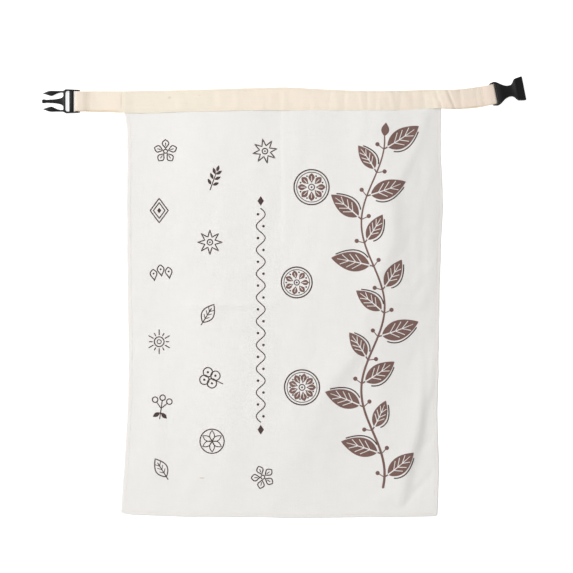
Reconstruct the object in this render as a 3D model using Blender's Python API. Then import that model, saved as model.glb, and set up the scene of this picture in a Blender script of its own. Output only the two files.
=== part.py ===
"""Roll-top bread bag of plain cloth, lying empty on its back.

Two cloth panels are sewn round three sides with their allowances turned in. A cotton tape
crosses the front of the mouth and holds half of a side-release buckle at each end.
+X is to the right, +Y towards the mouth and +Z up from the surface that the bag lies on.
"""

import math

import bmesh
import bpy
import numpy as np
from mathutils import Matrix

MM = 0.001  # every size below is in millimetres
SHARP_ANGLE = math.radians(50)  # edges past this stay sharp on the smooth pieces

# Cloth and tape
CLOTH = 1.0  # thickness of the panels
TAPE = 1.2  # thickness of the tape
GAP = 0.3  # between pieces, and between the layers of one piece
SEAM_ALLOWANCE = 8.0  # turned in at the sides and the foot
MOUTH_HEM = 12.0  # turned in at the back panel's mouth
PLATEAU_RISE = 3.6  # how far the front stands up from its edges, where the bag is slack
RISE_START = 9.0  # how far in from an edge it starts to rise
LEFT_RISE_END, RIGHT_RISE_END, FOOT_RISE_END = 110.0, 60.0, 110.0  # and reaches its height
FOLD_STEPS = 4  # segments round each folded edge
FOLD_RADIUS = CLOTH + GAP / 2  # of a folded edge's outside
FRONT_LOW = 2 * (2 * CLOTH + GAP) + GAP  # top of the front at its seams, on four layers

# Both long edges of the bag: height on the bag, left edge, right edge
SIDE_EDGES = (
    (200.0, -153.5, 149.4),
    (174.0, -151.4, 148.9),
    (160.0, -149.4, 148.7),
    (139.0, -149.1, 148.7),
    (105.0, -149.3, 150.3),
    (85.0, -149.4, 150.4),
    (54.0, -149.1, 149.1),
    (12.0, -148.8, 147.8),
    (-40.0, -147.9, 146.8),
    (-73.0, -148.0, 146.4),
    (-105.0, -148.8, 145.5),
    (-133.0, -150.1, 146.1),
    (-165.0, -152.1, 146.9),
    (-192.0, -154.2, 146.0),
    (-209.0, -155.2, 145.4),
)
# Foot of the bag: place across the bag, height
FOOT_EDGE = (
    (-155.0, -203.1),
    (-142.0, -205.3),
    (-120.0, -206.5),
    (-96.0, -207.4),
    (-50.0, -208.0),
    (-17.0, -208.2),
    (8.0, -209.0),
    (40.0, -208.8),
    (75.0, -208.2),
    (119.0, -207.9),
    (146.0, -207.2),
)
# Both edges of the tape, which is drawn tighter in places: place across, lower edge, upper edge
TAPE_EDGES = (
    (-193.0, 175.3, 195.5),
    (-169.0, 175.0, 195.1),
    (-150.0, 174.2, 195.0),
    (-128.0, 174.0, 195.4),
    (-98.0, 175.1, 195.9),
    (-60.0, 175.8, 196.9),
    (-23.0, 176.5, 197.9),
    (2.0, 176.3, 198.4),
    (30.0, 176.7, 197.0),
    (62.0, 176.6, 195.5),
    (81.0, 176.7, 195.0),
    (119.0, 177.1, 195.7),
    (146.0, 178.5, 196.6),
    (159.0, 177.8, 196.5),
    (176.0, 178.6, 198.1),
    (185.5, 179.7, 199.6),
    (201.0, 182.8, 202.4),
)
# Main folds of the front: reach to the left of the line and to its right, then the x, y and
# height of each point along the line (a height below zero is a trough)
FOLDS = (
    (60.0, 14.0, ((42.0, -84.0, 0.2), (52.0, -71.0, 0.9), (62.0, -58.0, 1.5), (70.0, -42.0, 1.6),
                  (75.0, -21.0, 1.4), (80.0, 4.0, 1.3), (86.0, 20.0, 1.4), (95.0, 36.0, 1.6),
                  (101.0, 56.0, 1.7), (101.0, 82.0, 1.6), (101.0, 101.0, 1.4),
                  (109.5, 120.0, 1.2), (122.0, 146.0, 0.7))),
    (55.0, 22.0, ((0.0, -180.0, 0.4), (9.0, -152.0, 1.0), (19.0, -126.0, 1.5),
                  (30.0, -99.0, 1.6), (42.0, -76.0, 1.2), (56.0, -60.0, 0.4))),
    (30.0, 9.0, ((110.0, -196.0, 0.5), (114.0, -171.6, 1.6), (117.8, -154.5, 2.0),
                 (121.6, -138.5, 2.1), (126.3, -119.6, 2.0), (131.0, -100.7, 1.8),
                 (134.8, -86.5, 1.5), (140.0, -66.0, 0.8))),
    (50.0, 24.0, ((44.0, 20.0, 0.6), (38.0, 60.0, 1.1), (34.0, 122.0, 0.8))),
    (45.0, 14.0, ((-78.0, 104.0, 0.3), (-64.8, 139.0, 0.5), (-56.0, 165.0, 0.4))),
    (18.0, 4.5, ((-84.0, -7.6, 0.4), (-50.0, -7.8, 0.45), (-14.0, -8.0, 0.35))),
    (16.0, 7.0, ((98.0, -5.0, 0.8), (122.0, -6.0, 0.9), (138.0, -6.0, 0.5))),
)
FOLD_FREE_FROM_EDGE = 18.0  # main folds reach their full height this far in from the seams
TAPE_ZONE, TAPE_ZONE_END = 24.0, 60.0  # below the mouth: main folds start past the first

FRONT_CELLS = (40, 44)  # columns and rows
BACK_CELLS = (12, 16)
EDGE_CROWDING = 0.6  # 0 spaces the columns evenly, 1 draws them to the edges

# Tape
TAPE_WIDTH_AT_BUCKLE = 19.0
NARROW_END, WIDE_START = 4.0, 18.0  # from the bar along the tape: where its width changes
TAPE_OVERLAP = 1.0  # the panels' edge lies this far below the tape's upper edge
BAR_RADIUS = 1.2  # the buckle bars that the tape goes round
WRAP_RADIUS = BAR_RADIUS + GAP + TAPE / 2
WRAP_ANGLE = math.radians(85)  # where the tape leaves the bar
WRAP_STEPS = 12
LINE_STEP = 3.0  # the tape's direction is taken over this far each way
BAR_SIDES = 20
SEWN_GAP = (TAPE + GAP) / 2  # half the distance between the two sewn layers
TAIL = 14.0  # from the bar's centre to the end of the turned tail
TAPE_ON_SEAM = FRONT_LOW + GAP + TAPE / 2
PRONG_SAG, SOCKET_SAG = 3.1, 3.6  # lowest height of the tape's middle between bag and buckle
PRONG_SEWN, SOCKET_SEWN = 2.4, 3.0  # height between the two layers at the tail's end
# Strap between the bag and its sewn end: share of the way out from the bag, share of the height
STRAP_SAG = ((0.0, 1.0), (0.16, 0.78), (0.34, 0.40), (0.50, 0.10), (0.62, 0.0))
# Sewn end: distance from the bar's centre, distance outwards from the sewn layers
SEWN_END = ((12.0, 0.0), (10.6, 0.05), (8.2, 0.5), (5.4, 1.08), (2.8, 1.3))

# Prong half: its own X runs out from the bag along the tape, from the centre of its bar
PRONG_BAR = (-195.7, 185.4, 2.9)
PRONG_HEIGHT = 5.2
IN_RAIL = 10.3  # the bars and the plate end inside the rails
CROSS_BAR = (3.1, 7.1)  # the tape turns back against its near side
CROSS_BAR_INSET = 0.4  # it is this much thinner on both faces
PLATE_END = 13.0
# Plate, beyond the free webbing slot: distance from the bar, half width
PRONG_PLATE = ((11.25, IN_RAIL), (11.8, 9.9), (PLATE_END, 9.6))
PRONG_LOW, PRONG_HIGH = 0.9, 4.3  # heights of the guide and the spring arms
# Rail: distance from the bar, distance from the middle line
PRONG_RAIL = (
    (-2.9, 10.0),
    (-0.5, 9.8),
    (10.9, 9.7),
    (PLATE_END, 9.3),
    (PLATE_END, 9.7),
    (11.8, 10.6),
    (10.9, 11.3),
    (4.0, 10.9),
    (-0.5, 10.7),
    (-2.9, 10.4),
)
# Guide and spring arm: distance beyond the plate, distance from the middle line
PRONG_GUIDE = (
    (-0.5, 5.6),
    (0.6, 4.2),
    (1.5, 3.45),
    (3.0, 2.8),
    (4.9, 2.35),
    (7.7, 1.85),
    (12.4, 1.5),
    (16.8, 1.42),
    (17.7, 1.66),
    (19.4, 1.68),
    (20.2, 1.35),
)
PRONG_ARM = (
    (-0.5, 7.0),
    (0.2, 7.9),
    (1.1, 8.35),
    (3.0, 8.2),
    (4.9, 7.75),
    (6.8, 7.0),
    (8.6, 6.1),
    (10.2, 5.35),
    (11.4, 5.05),
    (12.8, 5.3),
    (14.4, 5.8),
    (16.3, 6.4),
    (19.0, 7.2),
    (19.0, 7.7),
    (16.3, 8.7),
    (14.4, 9.45),
    (12.8, 9.75),
    (11.4, 9.9),
    (8.6, 9.8),
    (6.8, 9.6),
    (-0.5, 9.5),
)

# Socket half: the same, from the point where the tape meets its body
SOCKET_FOOT = (200.95, 192.6)
SOCKET_TURN = math.radians(11.2)
SOCKET_HEIGHT = 8.0
SOCKET_BAR = -2.7
SOCKET_WALL = 1.6  # top and bottom plates
# Outline: distance along the half, half width
SOCKET_OUTLINE = (
    (-5.6, 10.3),
    (-4.8, 10.5),
    (-3.0, 11.0),
    (-1.2, 11.25),
    (0.5, 11.0),
    (2.2, 10.3),
    (4.6, 8.6),
    (6.8, 7.05),
    (9.4, 5.8),
    (11.2, 5.35),
    (13.4, 5.3),
    (15.3, 5.9),
    (16.7, 7.3),
    (17.7, 8.9),
    (18.5, 10.0),
    (19.7, 10.55),
    (25.4, 11.3),
    (26.4, 11.3),
)
SOCKET_STEPS = 32  # segments along each side of the outline
SOCKET_BACK, SOCKET_MOUTH = SOCKET_OUTLINE[0][0], SOCKET_OUTLINE[-1][0]
SOCKET_SLOT_HALF = TAPE_WIDTH_AT_BUCKLE / 2 + GAP
SOCKET_SLOT_END = 0.3  # the slot that the tape fills
CAVITY_START, CAVITY_NECK = 6.5, 17.4
CAVITY_HALF = (8.8, 9.7)  # half width of the way in, at its neck and at its mouth
OUTSIDE = 14.0  # half width that reaches past the socket's sides

CLOTH_COLOUR = (0.86, 0.85, 0.80, 1.0)
TAPE_COLOUR = (0.87, 0.78, 0.66, 1.0)
PLASTIC_COLOUR = (0.012, 0.012, 0.013, 1.0)


# ---------------------------------------------------------------- curves and tables


def smooth_through(table, column, at):
    """A smooth curve through one column of a table whose first column rises or falls steadily."""
    rows = np.array(sorted(table))
    keys, values = rows[:, 0], rows[:, column]
    slopes = np.gradient(values, keys)
    at = np.asarray(at, float)
    inside = np.clip(at, keys[0], keys[-1])
    i = np.clip(np.searchsorted(keys, inside) - 1, 0, len(keys) - 2)
    span = keys[i + 1] - keys[i]
    t = (inside - keys[i]) / span
    curve = (
        values[i] * (1 + 2 * t) * (1 - t) ** 2
        + values[i + 1] * t**2 * (3 - 2 * t)
        + span * (slopes[i] * t * (1 - t) ** 2 + slopes[i + 1] * t**2 * (t - 1))
    )
    ends = np.where(at < keys[0], slopes[0], slopes[-1])
    return curve + (at - inside) * ends


def ease(value, start, end):
    """0 up to start, 1 from end on, and smooth between them."""
    t = np.clip((value - start) / (end - start), 0, 1)
    return t * t * (3 - 2 * t)


def tape_middle(x):
    """Height on the bag of the tape's middle line."""
    return (smooth_through(TAPE_EDGES, 1, x) + smooth_through(TAPE_EDGES, 2, x)) / 2


def tape_width(x):
    return smooth_through(TAPE_EDGES, 2, x) - smooth_through(TAPE_EDGES, 1, x)


def left_edge(y):
    return smooth_through(SIDE_EDGES, 1, y)


def right_edge(y):
    return smooth_through(SIDE_EDGES, 2, y)


def foot_edge(x):
    return smooth_through(FOOT_EDGE, 1, x)


def mouth_edge(x):
    return smooth_through(TAPE_EDGES, 2, x) - TAPE_OVERLAP


def place(u, v, side, foot, mouth):
    """The point at u across and v up the bag, whose edges are drawn in by side, foot and mouth."""
    u, v = np.asarray(u, float), np.asarray(v, float)
    x = left_edge(0.0) + u * (right_edge(0.0) - left_edge(0.0))
    low, high = foot_edge(x) + foot, mouth_edge(x) - mouth
    y = low + v * (high - low)
    left, right = left_edge(y) + side, right_edge(y) - side
    return left + u * (right - left), y


# ---------------------------------------------------------------- heights of the cloth


def fold_height(x, y):
    """What the main folds add to the front."""
    total = np.zeros_like(x)
    for left, right, points in FOLDS:
        nearest, height = np.full_like(x, np.inf), np.zeros_like(x)
        reach = np.full_like(x, right)
        for (x0, y0, z0), (x1, y1, z1) in zip(points, points[1:]):
            run = np.array((x1 - x0, y1 - y0))
            t = np.clip(((x - x0) * run[0] + (y - y0) * run[1]) / run.dot(run), 0, 1)
            dx, dy = x - x0 - t * run[0], y - y0 - t * run[1]
            away = np.hypot(dx, dy) + 1e-6
            side = (run[0] * dy - run[1] * dx) / (away * np.hypot(*run))
            closer = away < nearest
            nearest = np.where(closer, away, nearest)
            height = np.where(closer, z0 + t * (z1 - z0), height)
            # Past a line's ends the reach turns smoothly from the one side's to the other's
            reach = np.where(closer, (left + right + side * (left - right)) / 2, reach)
        total += height * np.exp(-((nearest / reach) ** 2) * 2)
    return total


def front_top(x, y):
    """Top of the front panel."""
    from_side = np.minimum(x - left_edge(y), right_edge(y) - x)
    from_foot = y - foot_edge(x)
    rise = ease(x - left_edge(y), RISE_START, LEFT_RISE_END)
    rise = rise * ease(right_edge(y) - x, RISE_START, RIGHT_RISE_END)
    rise = rise * ease(from_foot, RISE_START, FOOT_RISE_END)
    free = ease(np.minimum(from_side, from_foot), RISE_START, FOLD_FREE_FROM_EDGE)
    free = free * ease(mouth_edge(x) - y, TAPE_ZONE, TAPE_ZONE_END)
    return FRONT_LOW + PLATEAU_RISE * rise + free * fold_height(x, y)


def back_faces(x, y):
    """Heights of the outer and the inner face of the back panel."""
    return np.zeros_like(x), np.full_like(x, CLOTH)


def front_faces(x, y):
    top = front_top(x, y)
    return top, top - CLOTH


# ---------------------------------------------------------------- meshes


def material(name, colour, roughness):
    made = bpy.data.materials.new(name)
    made.use_nodes = True
    shader = made.node_tree.nodes["Principled BSDF"]
    shader.inputs["Base Color"].default_value = colour
    shader.inputs["Roughness"].default_value = roughness
    shader.inputs["Metallic"].default_value = 0.0
    return made


def new_object(name, mesh, finish):
    mesh.name = name
    if finish:
        mesh.materials.append(finish)
    made = bpy.data.objects.new(name, mesh)
    bpy.context.scene.collection.objects.link(made)
    return made


def smooth_object(name, mesh, finish):
    mesh.shade_smooth()
    mesh.set_sharp_from_angle(angle=SHARP_ANGLE)
    return new_object(name, mesh, finish)


def mesh_from(points, faces):
    """A closed mesh of these points, in millimetres, with its faces turned outwards."""
    mesh = bpy.data.meshes.new("shape")
    mesh.from_pydata((np.asarray(points, float) * MM).tolist(), [], faces)
    work = bmesh.new()
    work.from_mesh(mesh)
    bmesh.ops.recalc_face_normals(work, faces=work.faces)
    work.to_mesh(mesh)
    work.free()
    return mesh


def layered(name, outer, inner, quads, finish):
    """A cloth piece from its two faces, point for point, closed all round by a narrow rim."""
    count = len(outer)
    faces = quads + [[i + count for i in reversed(quad)] for quad in quads]
    edges = {}
    for quad in quads:
        for start, end in zip(quad, quad[1:] + quad[:1]):
            if edges.pop((end, start), None) is None:
                edges[start, end] = True
    faces += [[end, start, start + count, end + count] for start, end in edges]
    return smooth_object(name, mesh_from(np.concatenate((outer, inner)), faces), finish)


def crowded(count):
    """Places from 0 to 1, closer together near both ends."""
    t = np.linspace(0, 1, count + 1)
    return (1 - EDGE_CROWDING) * t + EDGE_CROWDING * (1 - np.cos(math.pi * t)) / 2


def edge_walk(ids, over_mouth):
    """The grid's edge points: down the left side, along the foot and up the right side."""
    walk = [*ids[::-1, 0], *ids[0, 1:], *ids[1:, -1]]
    if over_mouth:
        walk += [*ids[-1, -2:0:-1]]
    return [int(i) for i in walk]


def panel(name, cells, faces_at, fold_middle, upward, mouth_hem, finish):
    """A cloth panel with its edges turned to the inside of the bag.

    cells holds its columns and rows, and faces_at gives the heights of its outer and inner
    face. The turned edges go round a line at the height fold_middle. upward is 1 where the
    outer face looks up and -1 where it looks down. A mouth_hem of 0 leaves that edge raw.
    """
    columns, rows = cells
    u, v = (grid.ravel() for grid in np.meshgrid(crowded(columns), crowded(rows)))
    ids = np.arange(len(u)).reshape(rows + 1, columns + 1)
    hemmed = mouth_hem > 0
    x, y = place(u, v, FOLD_RADIUS, FOLD_RADIUS, FOLD_RADIUS * hemmed)
    outer, inner = ([np.stack((x, y, z), 1)] for z in faces_at(x, y))
    corners = (ids[:-1, :-1], ids[:-1, 1:], ids[1:, 1:], ids[1:, :-1])
    quads = np.stack([corner.ravel() for corner in corners], 1).tolist()

    walk = edge_walk(ids, hemmed)
    edge_u, edge_v = u[walk], v[walk]
    count, previous = len(u), walk
    for step in range(1, FOLD_STEPS + 2):
        turn = math.pi * min(step, FOLD_STEPS) / FOLD_STEPS
        for faces, radius in ((outer, FOLD_RADIUS), (inner, GAP / 2)):
            inset = FOLD_RADIUS - radius * math.sin(turn)
            insets = (inset, inset, inset * hemmed)
            if step > FOLD_STEPS:
                insets = (SEAM_ALLOWANCE, SEAM_ALLOWANCE, mouth_hem)
            x, y = place(edge_u, edge_v, *insets)
            z = np.full_like(x, fold_middle + upward * radius * math.cos(turn))
            faces.append(np.stack((x, y, z), 1))
        ring = list(range(count, count + len(walk)))
        steps = list(zip(previous, previous[1:], ring[1:], ring))
        if hemmed:
            steps.append((previous[-1], previous[0], ring[0], ring[-1]))
        # This order of corners carries on the grid's own winding
        quads += [[b, a, d, c] for a, b, c, d in steps]
        count, previous = count + len(ring), ring
    return layered(name, np.concatenate(outer), np.concatenate(inner), quads, finish)


# ---------------------------------------------------------------- tape


class TapeLine:
    """The tape's middle line seen from above, by distance along it, straight beyond its ends."""

    def __init__(self, first_bar, last_bar):
        x = np.linspace(first_bar[0], last_bar[0], 800)
        self.points = np.stack((x, tape_middle(x)), 1)
        self.points[0], self.points[-1] = first_bar, last_bar
        steps = np.linalg.norm(np.diff(self.points, axis=0), axis=1)
        self.distance = np.concatenate(((0,), np.cumsum(steps)))
        self.length = float(self.distance[-1])

    def point(self, along):
        return np.array([np.interp(along, self.distance, column) for column in self.points.T])

    def from_x(self, x):
        """The distance along the line at this place across the bag."""
        return float(np.interp(x, self.points[:, 0], self.distance))

    def at(self, along):
        """The place and the direction at this distance."""
        inside = min(max(along, 0.0), self.length)
        if inside < LINE_STEP:
            direction = np.array((1.0, 0.0))
        elif inside > self.length - LINE_STEP:
            direction = np.array((math.cos(SOCKET_TURN), math.sin(SOCKET_TURN)))
        else:
            direction = self.point(inside + LINE_STEP) - self.point(inside - LINE_STEP)
            direction /= np.linalg.norm(direction)
        return self.point(inside) + (along - inside) * direction, direction


def strap_path(bar_height, reach, sag, sewn):
    """The tape's path from the bag's edge round a bar to the end of its sewn tail.

    Each row is the distance from the bar's centre towards the bag, and the height. reach is
    the distance to the bag's edge, sag the height of the tape's lowest stretch, and sewn the
    height between its two layers at the tail's end.
    """
    layers = []
    for distance, spread in ((TAIL, 0.0), *SEWN_END):
        middle = bar_height + (sewn - bar_height) * ease(distance, SEWN_END[-1][0], TAIL)
        layers.append((distance, middle, SEWN_GAP + spread))
    path = [(reach * (1 - out), sag + share * (TAPE_ON_SEAM - sag)) for out, share in STRAP_SAG]
    path += [(distance, middle + apart) for distance, middle, apart in layers]
    for turn in np.linspace(WRAP_ANGLE, 2 * math.pi - WRAP_ANGLE, WRAP_STEPS):
        along, up = WRAP_RADIUS * math.cos(turn), WRAP_RADIUS * math.sin(turn)
        path.append((along, bar_height + up))
    path += [(distance, middle - apart) for distance, middle, apart in reversed(layers)]
    return path


def path_normals(path):
    """The directions across a path of distances and heights, to its left as it is walked."""
    steps = np.diff(path, axis=0)
    across = np.stack((-steps[:, 1], steps[:, 0]), 1)
    across /= np.linalg.norm(across, axis=1, keepdims=True)
    across = np.concatenate((across[:1], across[:-1] + across[1:], across[-1:]))
    return across / np.linalg.norm(across, axis=1, keepdims=True)


def tape(finish):
    """One ribbon: sewn tail, loop, strap, the mouth of the bag, strap, loop and sewn tail."""
    line = TapeLine(PRONG_BAR[:2], socket_point(SOCKET_BAR, 0.0))
    height_on_bag = tape_middle(0.0)
    left, right = left_edge(height_on_bag), right_edge(height_on_bag)
    prong_strap = strap_path(PRONG_BAR[2], line.from_x(left), PRONG_SAG, PRONG_SEWN)
    end = line.length - line.from_x(right)
    socket_strap = strap_path(SOCKET_HEIGHT / 2, end, SOCKET_SAG, SOCKET_SEWN)

    path = prong_strap[::-1]
    for x in left + crowded(FRONT_CELLS[0])[1:-1] * (right - left):
        path.append((line.from_x(x), float(front_top(x, tape_middle(x))) + GAP + TAPE / 2))
    path += [(line.length - along, height) for along, height in socket_strap]

    path = np.array(path)
    points = []
    for (along, height), normal in zip(path, path_normals(path)):
        wide = ease(min(along, line.length - along), NARROW_END, WIDE_START)
        for side, face in ((-1, 1), (1, 1), (1, -1), (-1, -1)):
            shift = face * TAPE / 2 * normal
            middle, direction = line.at(along + shift[0])
            seen = tape_width(middle[0]) * direction[0]
            width = TAPE_WIDTH_AT_BUCKLE + wide * (seen - TAPE_WIDTH_AT_BUCKLE)
            x, y = middle + side * width / 2 * np.array((-direction[1], direction[0]))
            points.append((x, y, height + shift[1]))
    last = 4 * (len(path) - 1)
    faces = [(0, 1, 2, 3), (last + 3, last + 2, last + 1, last)]
    for start in range(0, last, 4):
        for corner in range(4):
            after = (corner + 1) % 4
            faces.append((start + corner, start + 4 + corner, start + 4 + after, start + after))
    return smooth_object("mouth_tape", mesh_from(points, faces), finish)


# ---------------------------------------------------------------- buckle


def prism(name, outline, low, high, finish=None):
    """A plate with this outline seen from above."""
    count = len(outline)
    points = [(x, y, low) for x, y in outline] + [(x, y, high) for x, y in outline]
    faces = [tuple(range(count)), tuple(range(2 * count - 1, count - 1, -1))]
    faces += [(i, (i + 1) % count, (i + 1) % count + count, i + count) for i in range(count)]
    return new_object(name, mesh_from(points, faces), finish)


def bar(name, x, height, length):
    """A round bar across the buckle, which the tape goes round."""
    mesh = bpy.data.meshes.new(name)
    work = bmesh.new()
    turn = Matrix.Translation((x * MM, 0, height * MM)) @ Matrix.Rotation(math.pi / 2, 4, "X")
    bmesh.ops.create_cone(
        work,
        cap_ends=True,
        segments=BAR_SIDES,
        radius1=BAR_RADIUS * MM,
        radius2=BAR_RADIUS * MM,
        depth=length * MM,
        matrix=turn,
    )
    work.to_mesh(mesh)
    work.free()
    return new_object(name, mesh, None)


def combine(base, others, operation):
    """Joins the others to the base, or cuts them from it."""
    for other in others:
        other.hide_render = True
        other.display_type = "WIRE"
        other.parent = base
        change = base.modifiers.new(f"{operation.lower()} {other.name}", "BOOLEAN")
        change.operation = operation
        change.object = other
        change.solver = "EXACT"


def both_sides(outline):
    """Closes a list of distances and half widths into an outline on both sides of the axis."""
    return [(x, -y) for x, y in outline] + [(x, y) for x, y in reversed(outline)]


def mirrored(outline):
    return [(x, -y) for x, y in reversed(outline)]


def beyond_plate(outline):
    return [(PLATE_END + x, y) for x, y in outline]


def prong_half(finish):
    """Frame with two rails, a plate that carries the guide and the spring arms, and two bars."""
    rail, arm = list(PRONG_RAIL), beyond_plate(PRONG_ARM)
    guide = both_sides(beyond_plate(PRONG_GUIDE))
    plate = both_sides(PRONG_PLATE)
    cross = both_sides([(x, IN_RAIL) for x in CROSS_BAR])
    body = prism("buckle_prong", plate, 0.0, PRONG_HEIGHT, finish)
    pieces = [
        prism("prong_rail_a", rail, 0.0, PRONG_HEIGHT),
        prism("prong_rail_b", mirrored(rail), 0.0, PRONG_HEIGHT),
        prism("prong_cross", cross, CROSS_BAR_INSET, PRONG_HEIGHT - CROSS_BAR_INSET),
        bar("prong_tape_bar", 0.0, PRONG_BAR[2], 2 * IN_RAIL),
        prism("prong_guide", guide, PRONG_LOW, PRONG_HIGH),
        prism("prong_arm_a", arm, PRONG_LOW, PRONG_HIGH),
        prism("prong_arm_b", mirrored(arm), PRONG_LOW, PRONG_HIGH),
    ]
    combine(body, pieces, "UNION")
    body.location = (PRONG_BAR[0] * MM, PRONG_BAR[1] * MM, 0.0)
    body.rotation_euler = (0.0, 0.0, math.pi)
    return body


def socket_point(along, aside):
    """A place on the bag from one in the socket's own directions."""
    c, s = math.cos(SOCKET_TURN), math.sin(SOCKET_TURN)
    return SOCKET_FOOT[0] + c * along - s * aside, SOCKET_FOOT[1] + s * along + c * aside


def socket_half(finish):
    """An hourglass shell, open at its mouth and at both sides of its waist, and a bar."""
    along = np.linspace(SOCKET_BACK, SOCKET_MOUTH, SOCKET_STEPS + 1)
    outline = list(zip(along.tolist(), smooth_through(SOCKET_OUTLINE, 1, along).tolist()))
    body = prism("buckle_socket", both_sides(outline), 0.0, SOCKET_HEIGHT, finish)
    slot = [(SOCKET_BACK - 1, SOCKET_SLOT_HALF), (SOCKET_SLOT_END, SOCKET_SLOT_HALF)]
    cavity = [
        (CAVITY_START, OUTSIDE),
        (CAVITY_NECK, OUTSIDE),
        (CAVITY_NECK, CAVITY_HALF[0]),
        (SOCKET_MOUTH + 1, CAVITY_HALF[1]),
    ]
    cutters = [
        prism("socket_tape_slot", both_sides(slot), -1.0, SOCKET_HEIGHT + 1),
        prism("socket_cavity", both_sides(cavity), SOCKET_WALL, SOCKET_HEIGHT - SOCKET_WALL),
    ]
    combine(body, cutters, "DIFFERENCE")
    bar_length = 2 * (SOCKET_SLOT_HALF + GAP)
    combine(body, [bar("socket_tape_bar", SOCKET_BAR, SOCKET_HEIGHT / 2, bar_length)], "UNION")
    body.location = (SOCKET_FOOT[0] * MM, SOCKET_FOOT[1] * MM, 0.0)
    body.rotation_euler = (0.0, 0.0, SOCKET_TURN)
    return body


def main():
    for old in list(bpy.data.objects):
        bpy.data.objects.remove(old)
    cloth = material("off-white cloth", CLOTH_COLOUR, 0.9)
    webbing = material("cream cotton tape", TAPE_COLOUR, 0.88)
    plastic = material("black plastic", PLASTIC_COLOUR, 0.35)
    panel("back_panel", BACK_CELLS, back_faces, FOLD_RADIUS, -1, MOUTH_HEM, cloth)
    panel("front_panel", FRONT_CELLS, front_faces, FRONT_LOW - FOLD_RADIUS, 1, 0.0, cloth)
    tape(webbing)
    prong_half(plastic)
    socket_half(plastic)


main()
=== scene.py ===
"""Looks of the roll-top bread bag: its cloth, print, tape, stitching and buckle, and the stage.

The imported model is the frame. Each cloth piece is a thin sheet on the folds of its own solid, so
the tables of edges and main folds are the ones that the solids were made from. Lengths in the
tables and functions are in millimetres, and the settings in the panel are in metres.
+X is to the right, +Y towards the mouth and +Z up from the surface that the bag lies on.
"""

import math

import bmesh
import bpy
import numpy as np
from bpy.props import FloatProperty, FloatVectorProperty, PointerProperty
from mathutils.geometry import delaunay_2d_cdt
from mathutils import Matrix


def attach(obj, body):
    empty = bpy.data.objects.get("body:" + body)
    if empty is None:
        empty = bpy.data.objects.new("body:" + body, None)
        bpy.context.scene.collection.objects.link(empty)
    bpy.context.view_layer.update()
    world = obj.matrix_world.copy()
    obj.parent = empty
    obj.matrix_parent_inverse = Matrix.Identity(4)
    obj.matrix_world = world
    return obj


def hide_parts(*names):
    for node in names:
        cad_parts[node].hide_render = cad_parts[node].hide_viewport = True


bl_info = {
    "name": "Roll-top bread bag",
    "version": (1, 0, 0),
    "blender": (4, 5, 0),
    "location": "3D View > Sidebar > Bread bag",
    "description": "Builds the cloth, print, tape, stitching, buckle and stage of a bread bag",
    "category": "Add Mesh",
}

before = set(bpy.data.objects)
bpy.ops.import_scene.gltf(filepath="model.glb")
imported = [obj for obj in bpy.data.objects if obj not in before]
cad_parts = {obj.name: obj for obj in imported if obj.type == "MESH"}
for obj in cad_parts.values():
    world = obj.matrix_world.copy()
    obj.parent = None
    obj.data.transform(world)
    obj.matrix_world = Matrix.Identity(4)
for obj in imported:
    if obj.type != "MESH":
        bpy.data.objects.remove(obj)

MM = 0.001  # tables and functions below are in millimetres
BODY = "root"  # the bag has no joints, so every piece rides on its one body
SHARP_ANGLE = math.radians(50)  # edges past this stay sharp on the sewn pieces

# ---------------------------------------------------------------- shape of the bag

SOLID_CLOTH = 1.0  # thickness of the panels' solids
SOLID_TAPE = 1.2  # thickness of the tape's solid
GAP = 0.3  # between pieces, and between the layers of one piece
SEAM_ALLOWANCE = 8.0  # turned in at the sides and the foot
MOUTH_HEM = 12.0  # turned in at the back panel's mouth
PLATEAU_RISE = 3.6  # how far the front stands up from its edges, where the bag is slack
RISE_START = 9.0  # how far in from an edge it starts to rise
LEFT_RISE_END, RIGHT_RISE_END, FOOT_RISE_END = 110.0, 60.0, 110.0  # and reaches its height
FOLD_STEPS = 8  # segments round each folded edge
PANEL_SPANS = ((299, 147), (404, 200))  # width and height, and where each has a packing crease
FRONT_EDGE_CELL, BACK_EDGE_CELL = 0.9, 1.3  # size of the mesh cells at the edges and creases
SEAM_STRIP = (3.2, 6.5)  # distances in from the edge over which the allowance's tint fades out
FOLD_RADIUS = SOLID_CLOTH + GAP / 2  # of a folded edge's outside
FRONT_LOW = 2 * (2 * SOLID_CLOTH + GAP) + GAP  # top of the front at its seams, on four layers

# Both long edges of the bag: height on the bag, left edge, right edge
SIDE_EDGES = (
    (200.0, -153.5, 149.4),
    (174.0, -151.4, 148.9),
    (160.0, -149.4, 148.7),
    (139.0, -149.1, 148.7),
    (105.0, -149.3, 150.3),
    (85.0, -149.4, 150.4),
    (54.0, -149.1, 149.1),
    (12.0, -148.8, 147.8),
    (-40.0, -147.9, 146.8),
    (-73.0, -148.0, 146.4),
    (-105.0, -148.8, 145.5),
    (-133.0, -150.1, 146.1),
    (-165.0, -152.1, 146.9),
    (-192.0, -154.2, 146.0),
    (-209.0, -155.2, 145.4),
)
# Foot of the bag: place across the bag, height
FOOT_EDGE = (
    (-155.0, -203.1),
    (-142.0, -205.3),
    (-120.0, -206.5),
    (-96.0, -207.4),
    (-50.0, -208.0),
    (-17.0, -208.2),
    (8.0, -209.0),
    (40.0, -208.8),
    (75.0, -208.2),
    (119.0, -207.9),
    (146.0, -207.2),
)
CORNER = 2.4  # the foot's corners are rounded over this far
EDGE_RIPPLE, EDGE_RIPPLE_STEP = 0.22, 9.0  # the seams draw the edges in unevenly
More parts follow.
